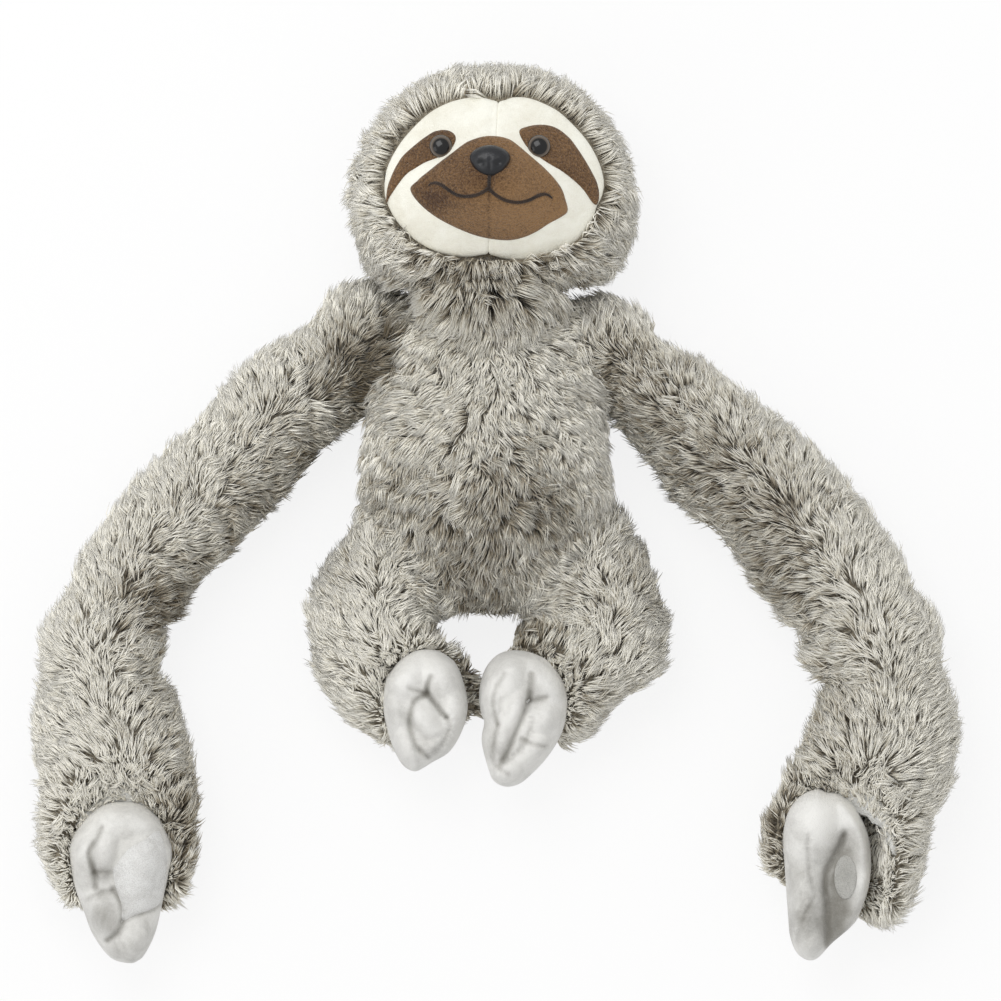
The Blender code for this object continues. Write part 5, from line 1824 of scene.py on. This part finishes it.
LEFT_FOOT = PillowForm(
    outline=((12.3, -97.5), (7.6, -98.2), (3.6, -99.9), (0.3, -102.9), (-2.4, -106.9), (-4.4, -112.3),
             (-5.4, -118.3), (-5.2, -125), (-4.1, -130.4), (-2.9, -133.7), (-4.1, -143.7), (-0.1, -159.1),
             (2.3, -163.2), (5.6, -165.2), (9.6, -165.8), (14.3, -164.5), (19, -161.2), (28.4, -151.4),
             (35.8, -139.1), (38.8, -125.7), (36.8, -113.6), (29.7, -103.6), (24.4, -100.2), (18.3, -98.2)),
    top=61.0, middle=46.0, bottom=27.0, shoulder=12.0,
    lobes=rows(Lobe, (10.5, -109, 14, 8, 80, 5.5), (29, -113, 13, 9.5, -50, 5.5),
        (0.5, -123, 13, 6, 90, 4.5), (12, -127, 12, 5, 70, 5.5), (27, -131, 10, 8.5, 30, 5.5),
        (5, -141, 14, 5, 75, 5), (23, -147, 10, 6.5, 50, 4.5), (7.5, -159.5, 10, 7.5, 30, 4.5)),
    strokes=rows(Stroke,
        (((20.7, -109.5), (20, -120), (16.5, -129.5), (12.5, -139), (9, -148), (5, -155)), 1.4, -3.0),
        (((7, -109.5), (3.5, -116), (1.7, -124), (4, -134.5)), 1.2, -2.0),
        (((4, -134.5), (1.5, -145), (2.5, -154.5), (9.5, -159.8)), 1.1, -1.8),
        (((19, -123), (24, -122), (28.5, -121)), 1.2, -2.4),
        (((21, -130.5), (20, -138), (15, -147), (7, -154)), 1.1, -1.2, 0.6, 2.2),
        (((16, -142), (22, -144.5), (27, -145.5)), 1.1, -2.2)),
    # Painted shade at two folds, painted light at the top.
    light_and_shade_spots=rows(ToneAndShadeSpot, (19, -121, 5, -0.15), (5, -145, 7, -0.14), (27, -108, 10, 0.1)),
)
PILLOWS = {"paw_right": RIGHT_PAW, "paw_left": LEFT_PAW, "foot_right": RIGHT_FOOT,
           "foot_left": LEFT_FOOT}
KITE_MM = ((-165.6, -187.5), (-172.4, -191.9), (-180.4, -196.8), (-186.6, -204.4), (-188.2, -208.9),
           (-186.4, -217.8), (-183.9, -225.1), (-183.6, -232.6), (-177.1, -229.8), (-169.7, -227.2),
           (-165.2, -224.1), (-163.4, -217.8), (-161.6, -208.4), (-161.4, -201), (-163.2, -192.6))


@dataclass
class Pillow:
    """A stuffed velour paw or foot with its sewn folds pressed in."""

    finishes: Finishes
    name: str
    form: PillowForm
    body: str = field(init=False)
    edge: Curve2 = field(init=False)

    def __post_init__(self) -> None:
        """Names its body and runs a smooth line through the outline."""
        part, side = self.name.split("_")
        self.body = "%s_%s" % (part, side[0])
        self.edge = Curve2(self.form.outline, True, 6)

    def height(self, places: Array, depth: Array, drawn_in: float = 0.0) -> Array:
        """Gives the height of the upper cloth.

        Args:
            places: Places in the plane.
            depth: Their distances from the edge.
            drawn_in: How far inside the cloth this lies.

        Returns:
            The heights in metres.
        """
        form = self.form
        fade = np.clip(depth / 0.0045, 0.0, 1.0)
        fade = fade * (2.0 - fade)
        made = (form.middle + (form.top - form.middle) * dome(depth / (form.shoulder * MM))
                + form.swell(places) * fade) * MM
        for stroke in form.strokes:
            made = made + stroke.press(places) * fade
        return made - drawn_in

    def _form(self, name: str, spacing: float, drawn_in: float,
              material: bpy.types.Material) -> bpy.types.Object:
        """Builds the closed pillow, or its filling a little inside it."""
        rings = (0.00015, 0.0005, 0.0011, 0.0020, 0.0032, 0.0046)
        edge = self.edge
        if drawn_in:
            rings = (0.0006, 0.0018, 0.0036)
            centre = edge.points.mean(0)
            away = edge.points - centre
            size = np.linalg.norm(away, axis=1)[:, None]
            edge = Curve2((centre + away * (1 - drawn_in * 1.6 / size))[::4] / MM, True, 4)
        panel = Panel(edge, spacing, rings)
        depth = self.edge.near(panel.points)[0]
        top = self.height(panel.points, depth if not drawn_in else panel.depth, drawn_in)
        share = dome(panel.depth / (self.form.shoulder * MM))
        low = (self.form.middle - (self.form.middle - self.form.bottom) * share) * MM
        piece = panel.closed(name, top, low + drawn_in, material, True)
        if not drawn_in:
            flat = np.array([v.co[:] for v in piece.data.vertices])
            # The upper cloth takes the painted light and shade of the folds and spots; the rest stays
            # plain.
            nap = np.where(flat[:, 2] > self.form.middle * MM * 0.98, self.form.nap(flat[:, :2]), 0.6)
            piece.data.attributes.new("nap", "FLOAT", "POINT").data.foreach_set("value", nap)
        return piece

    def build(self) -> None:
        """Builds cloth and filling."""
        for kind, node, slot, look, spacing, drawn_in in (
                ("_cloth", "_cover", "grey_velour", "grey", 0.00095, 0.0),
                ("_filling", "_stuffing", "fibre_filling", "fibre", 0.0024, 0.0016)):
            piece = self._form(self.name + kind, spacing, drawn_in, self.finishes[look])
            finish_piece(piece, self.body, (self.name + node,))


class PalmPatch:
    """A stitched loop-tape patch on a palm."""

    def __init__(self, paw: Pillow, outline: Points, side: str, material: bpy.types.Material) -> None:
        """Builds the patch on the paw's cloth.

        Args:
            paw: The paw.
            outline: The patch's edge, in millimetres.
            side: The paw's side.
            material: The tape.
        """
        panel = Panel(Curve2(outline, True, 4), 0.0011, (0.0002, 0.0006))
        base = paw.height(panel.points, paw.edge.near(panel.points)[0])
        roll = dome(panel.depth / 0.0008)
        piece = panel.closed("palm_tape_" + side, base + 0.0003 + 0.0004 * roll, base - 0.0004, material)
        finish_piece(piece, paw.body, ("palm_patch_" + side,))


# ---------------------------------------------------------------- floor, light and camera


@dataclass
class Studio:
    """The plain floor, the soft lights and the camera of the photograph."""

    eye: tuple[float, float, float] = (0.00525, -0.02275, 12.0)
    field_width: float = 0.5005
    subject: float = 0.04

    def camera(self) -> None:
        """Sets the camera straight above the toy."""
        data = bpy.data.cameras.new("camera")
        data.lens = data.sensor_width * (self.eye[2] - self.subject) / self.field_width
        data.clip_end = 50.0
        piece = Bench.place("camera", data)
        piece.location = self.eye
        bpy.context.scene.camera = piece

    def floor(self) -> None:
        """Lays the white floor, which keeps a soft shadow."""
        Bench.clear()
        bpy.ops.mesh.primitive_plane_add(size=12.0, location=(0.0, 0.0, -0.0003))
        piece = bpy.context.object
        piece.name = "floor"
        bpy.ops.object.transform_apply(location=True, rotation=True, scale=True)
        material = bpy.data.materials.new("white_floor")
        material.use_nodes = True
        material.node_tree.nodes.clear()
        nodes = Nodes(material.node_tree)
        path = nodes.add("LightPath").outputs
        seen = nodes.math("MAXIMUM", path["Is Camera Ray"], path["Is Glossy Ray"])
        matte = nodes.add("BsdfDiffuse", {"Color": (0.93, 0.93, 0.93, 1.0)})
        glow = nodes.add("Emission", {"Strength": 1.0})
        mix = nodes.add("MixShader", {0: nodes.math("MULTIPLY", seen, 0.85), 1: matte.outputs[0],
                                      2: glow.outputs[0]})
        nodes.add("OutputMaterial", {"Surface": mix.outputs[0]})
        piece.data.materials.append(material)

    @staticmethod
    def _lamp(name: str, place: tuple[float, float, float], size: float, power: float) -> None:
        """Hangs one soft square lamp, turned to the toy.

        Args:
            name: Its name.
            place: Where it hangs.
            size: Its side.
            power: Its power in watts.
        """
        data = bpy.data.lights.new(name, "AREA")
        data.size = size
        data.energy = power
        piece = Bench.place(name, data)
        piece.location = place
        way = Vector((0.0, 0.0, 0.03)) - Vector(place)
        piece.rotation_euler = way.to_track_quat("-Z", "Y").to_euler()

    def light(self) -> None:
        """Sets the even world and two soft lamps."""
        world = bpy.data.worlds.new("world")
        bpy.context.scene.world = world
        world.use_nodes = True
        background = world.node_tree.nodes["Background"]
        Nodes(world.node_tree).feed(background, {"Color": (1.0, 1.0, 1.0, 1.0), "Strength": 0.70})
        self._lamp("overhead_lamp", (-0.5, 0.9, 1.9), 1.3, 16.0)
        self._lamp("side_lamp", (-1.3, -0.4, 1.2), 0.9, 3.0)

    def build(self) -> None:
        """Builds the whole studio."""
        self.camera()
        self.floor()
        self.light()
        bpy.context.scene.view_settings.view_transform = "Standard"

def main() -> None:
    """Builds the toy in order."""
    logging.basicConfig(level=logging.INFO, format="%(name)s: %(message)s")
    Studio().build()
    finishes = Finishes()
    for name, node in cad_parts.items():
        if name.endswith("_washer"):
            for slot in node.material_slots:
                slot.material = finishes["washer"]
    pillows = {name: Pillow(finishes, name, form) for name, form in PILLOWS.items()}
    torso, neck, head = Torso(finishes), Neck(finishes), Head(finishes)
    arms = [Arm(finishes, side, pillows["paw_" + side.value].edge) for side in Side]
    legs = [Leg(finishes, side, pillows["foot_" + side.value].edge) for side in Side]
    for part in (torso, neck, head, *arms, *legs, Face(finishes), *pillows.values()):
        part.build()
    PalmPatch(pillows["paw_right"], KITE_MM, "right", finishes["tape"])
    # The left patch lies in the palm hollow, in the same tape with painted shade.
    left = [(177.6 + 5.6 * math.cos(TAU * k / 16), -211.0 + 11.0 * math.sin(TAU * k / 16))
            for k in range(16)]
    PalmPatch(pillows["paw_left"], left, "left", finishes["shaded_tape"])
    torso.dress([*[limb.skin for limb in (*arms, *legs)], head.skin])
    neck.dress([torso.skin, head.skin])
    head.dress([torso.skin, *[arm.skin for arm in arms]])
    for limb in (*arms, *legs):
        limb.dress([torso.skin, head.skin])


if __name__ == "__main__":
    main()
